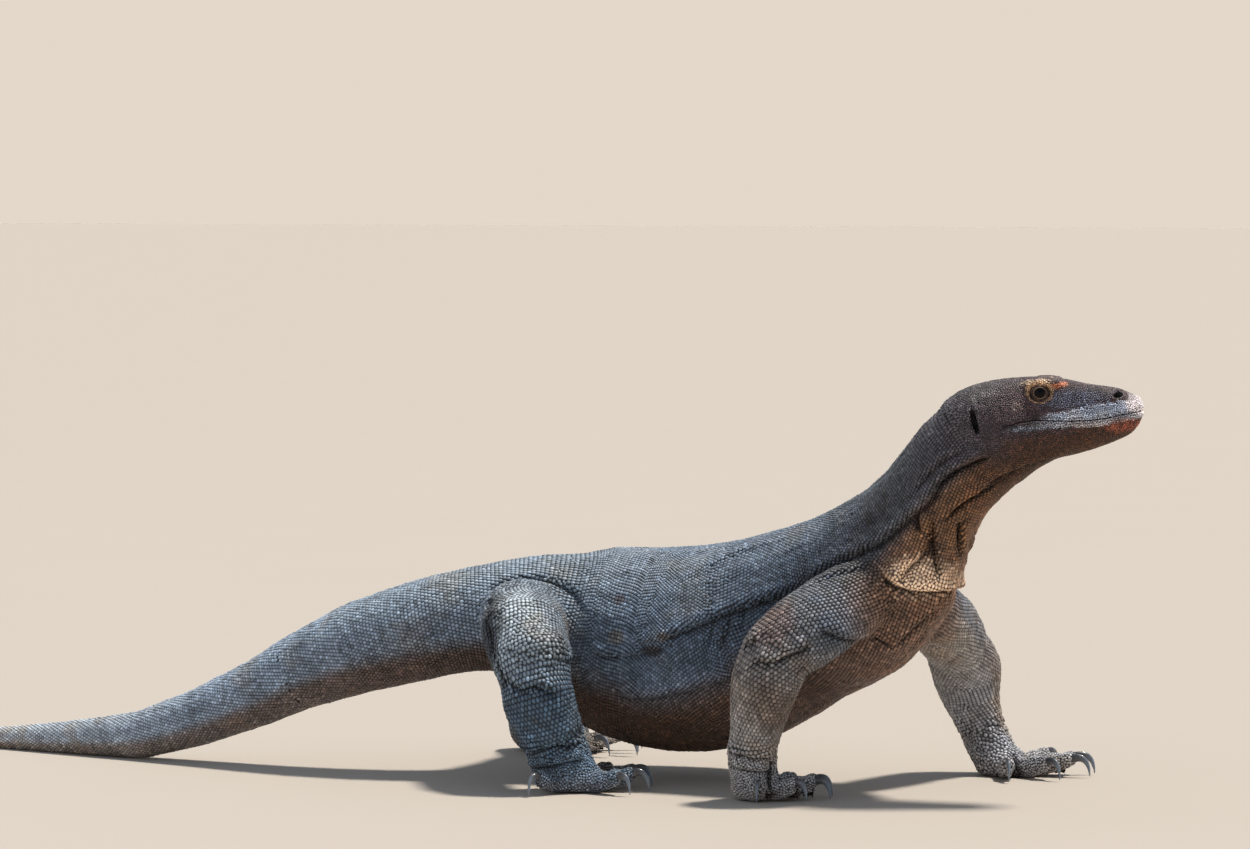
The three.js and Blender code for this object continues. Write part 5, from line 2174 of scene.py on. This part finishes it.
@dataclass(frozen=True)
class HideFinish:
    """Dusty scales with dark, earthy grooves between them, and a painted highlight on each crown."""

    name: str
    groove: tuple[int, int, int] = (48, 42, 40)
    glint: float = 1.6
    earth: tuple[int, int, int] = (214, 178, 148)
    gloss: float = 0.30
    grain: float = 0.35
    grain_depth: float = 0.25 * MM

    def material(self) -> Material:
        """Makes the material."""
        paint = Paint(self.name)
        marking, crown = paint.attribute("marking", "Color"), paint.attribute("crown")
        mottle, grain, specks = paint.noise(42.0, 4.0), paint.noise(900.0, 2.0), paint.noise(210.0, 3.0)
        groove = paint.blend(1.0, marking, rgba(*self.groove), "MULTIPLY")
        worn = paint.blend(mottle.above(0.48, 0.75) * 0.30, marking, groove)
        # painted highlight: the crown of each scale is lightened by the glint
        bright = paint.blend(1.0, worn, (self.glint, self.glint, self.glint, 1.0), "MULTIPLY")
        top = paint.blend(crown.above(0.62, 1.0), worn, bright)
        pale = paint.blend((grain.above(0.5, 0.8) * crown) * 0.20, top, rgba(205, 207, 206))
        scale = paint.blend(crown.above(0.10, 0.62), groove, pale)
        dirt = specks.above(0.66, 0.76) * 0.35
        colour = paint.blend(dirt, scale, paint.blend(1.0, rgba(*self.earth), pale, "MULTIPLY"))
        rough = self.gloss + 0.34 * (1.0 - crown) + 0.14 * mottle
        normal = paint.raised(grain + specks * 0.5, self.grain, self.grain_depth)
        return paint.finish({"Base Color": colour, "Roughness": rough, "Normal": normal})


@dataclass(frozen=True)
class HornFinish:
    """Dark, polished horn, greyer towards the tip, with fine bumps."""

    base: tuple[int, int, int] = (60, 60, 64)
    tip: tuple[int, int, int] = (112, 126, 142)
    worn: tuple[int, int, int] = (150, 154, 156)

    def material(self) -> Material:
        """Makes the material."""
        paint = Paint("horn")
        along, mottle, fine = paint.attribute("along"), paint.noise(160.0, 3.0), paint.noise(1400.0, 2.0)
        horn = paint.blend(along.above(0.15, 0.85), rgba(*self.base), rgba(*self.tip))
        worn = paint.blend(mottle.above(0.50, 0.75) * 0.35, horn, rgba(*self.worn))
        rough = 0.24 + 0.20 * mottle
        normal = paint.raised(fine + mottle, 0.12, 0.2 * MM)
        return paint.finish({"Base Color": worn, "Roughness": rough, "Normal": normal, "Coat Weight": 0.3})


@dataclass(frozen=True)
class EyeFinish:
    """A wet eye: a black pupil in a dark brown iris, ringed with black."""

    pupil: float = 0.36
    iris: float = 0.62

    def material(self) -> Material:
        """Makes the material."""
        paint = Paint("eye")
        gaze, flecks = paint.attribute("gaze"), paint.noise(1500.0, 3.0)
        brown = paint.blend(flecks.above(0.35, 0.7), rgba(7, 8, 14), rgba(16, 18, 28))
        inner = paint.blend(gaze.above(self.pupil - 0.03, self.pupil + 0.03), rgba(2, 2, 3), brown)
        whole = paint.blend(gaze.above(self.iris - 0.05, self.iris + 0.04), inner, rgba(8, 7, 8))
        return paint.finish({"Base Color": whole, "Roughness": 0.04, "IOR": 1.30, "Specular IOR Level": 0.3})


@dataclass(frozen=True)
class FloorFinish:
    """A plain pale floor."""

    colour: tuple[int, int, int] = (182, 174, 164)

    def material(self) -> Material:
        """Makes the material."""
        paint = Paint("pale_floor")
        tint = paint.blend(paint.noise(3.0, 3.0) * 0.2, rgba(*self.colour), rgba(174, 166, 156))
        return paint.finish({"Base Color": tint, "Roughness": 0.9})


# ---- camera, floor and light


@dataclass
class Studio:
    """The camera, a plain floor and soft lights."""

    camera_place: tuple[float, float, float] = (2.75294, -6.08270, 0.749)
    camera_turn: float = math.radians(22.0)
    camera_drop: float = math.radians(2.75)
    lens: float = 152.64
    floor_size: float = 60.0
    sky: tuple[int, int, int] = (196, 208, 224)
    horizon: tuple[int, int, int] = (227, 216, 202)
    sky_strength: float = 0.55
    sun_way: tuple[float, float, float] = (-0.43, -0.28, -1.35)
    sun_power: float = 4.3
    sun_width: float = math.radians(7.0)

    def build(self) -> None:
        """Makes the camera, the floor, the lights and the pale surroundings."""
        self._camera()
        self._floor()
        self._sun()
        self._light("front", (-1.6, -4.0, 2.4), 3.0, 16.0, (228, 238, 255))
        self._surroundings()
        bpy.context.scene.view_settings.view_transform = "Standard"

    def _surroundings(self) -> None:
        """Makes a soft sky, palest along the horizon so that the floor runs into it."""
        world = bpy.data.worlds.new("studio")
        world.use_nodes = True
        tree = world.node_tree
        place = tree.nodes.new("ShaderNodeTexCoord")
        split = tree.nodes.new("ShaderNodeSeparateXYZ")
        rise = tree.nodes.new("ShaderNodeMapRange")
        rise.interpolation_type = "SMOOTHSTEP"
        rise.inputs[1].default_value, rise.inputs[2].default_value = 0.04, 0.30
        rise.inputs[3].default_value, rise.inputs[4].default_value = 0.0, 1.0
        mix = tree.nodes.new("ShaderNodeMix")
        mix.data_type = "RGBA"
        mix.inputs[6].default_value = rgba(*self.horizon)
        high = [self.sky_strength * value for value in linear(*self.sky)]
        mix.inputs[7].default_value = (*high, 1.0)
        tree.links.new(place.outputs["Generated"], split.inputs[0])
        tree.links.new(split.outputs[2], rise.inputs[0])
        tree.links.new(rise.outputs[0], mix.inputs[0])
        tree.links.new(mix.outputs[2], tree.nodes["Background"].inputs["Color"])
        bpy.context.scene.world = world

    def _camera(self) -> None:
        """Makes the camera that frames the picture."""
        data = bpy.data.cameras.new("camera")
        data.lens = self.lens
        data.clip_end = 200.0
        camera = put("camera", data)
        camera.location = self.camera_place
        camera.rotation_euler = (math.pi / 2 - self.camera_drop, 0.0, self.camera_turn)
        bpy.context.scene.camera = camera

    def _floor(self) -> None:
        """Makes the floor."""
        shape = bmesh.new()
        bmesh.ops.create_grid(shape, x_segments=2, y_segments=2, size=self.floor_size)
        mesh = mesh_from(shape, "floor")
        mesh.materials.append(FloorFinish().material())
        floor = put("floor", mesh)
        floor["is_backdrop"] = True

    def _sun(self) -> None:
        """Makes the broad soft light from above."""
        data = bpy.data.lights.new("key", "SUN")
        data.energy, data.angle = self.sun_power, self.sun_width
        data.color = linear(255, 247, 236)
        light = put("key", data)
        light.location = (0.6, 1.6, 3.4)
        light.rotation_euler = Vector(self.sun_way).to_track_quat("-Z", "Y").to_euler()

    @staticmethod
    def _light(name: str, spot: tuple[float, float, float], size: float, power: float,
               colour: tuple[int, int, int]) -> None:
        """Adds one square soft light that faces the middle of the body.

        Args:
            name: Its name.
            spot: Its place.
            size: The length of its side.
            power: Its power in watts.
            colour: Its screen colour.
        """
        data = bpy.data.lights.new(name, "AREA")
        data.energy, data.size = power, size
        data.color = linear(*colour)
        light = put(name, data)
        light.location = spot
        middle = Vector((0.2, 0.0, 0.2))
        light.rotation_euler = (middle - Vector(spot)).to_track_quat("-Z", "Y").to_euler()


# ---- the whole


def main() -> None:
    """Builds the camera and studio, then the skin, the eyes, the claws and the coat."""
    logging.basicConfig(level=logging.INFO, format="%(message)s")
    Studio().build()
    anatomy = Anatomy()
    face = Face(anatomy.head)
    markings = Markings(anatomy, face)
    skin = Skin(anatomy, face)
    skin.build()
    hide = HideFinish("hide").material()
    write_attribute(skin.mesh, "marking", markings.bared(skin))
    write_attribute(skin.mesh, "crown", 0.22 * (1.0 - skin.bare))
    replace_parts(piece_from("skin", skin.mesh, hide), *FLESH)
    eye_finish = EyeFinish().material()
    for side in SIDES:
        Eye(side, face).build(eye_finish, hide, markings)
    horn = HornFinish().material()
    for kind, side in LIMBS:
        ClawSet(kind, side).build(horn)
    Coat(anatomy, face, skin, markings).build(hide)
    boxes = {"cad": CAD_BOX, "visual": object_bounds()}
    json.dumps({name: [list(corner) for corner in box] for name, box in boxes.items()})


if __name__ == "__main__":
    main()
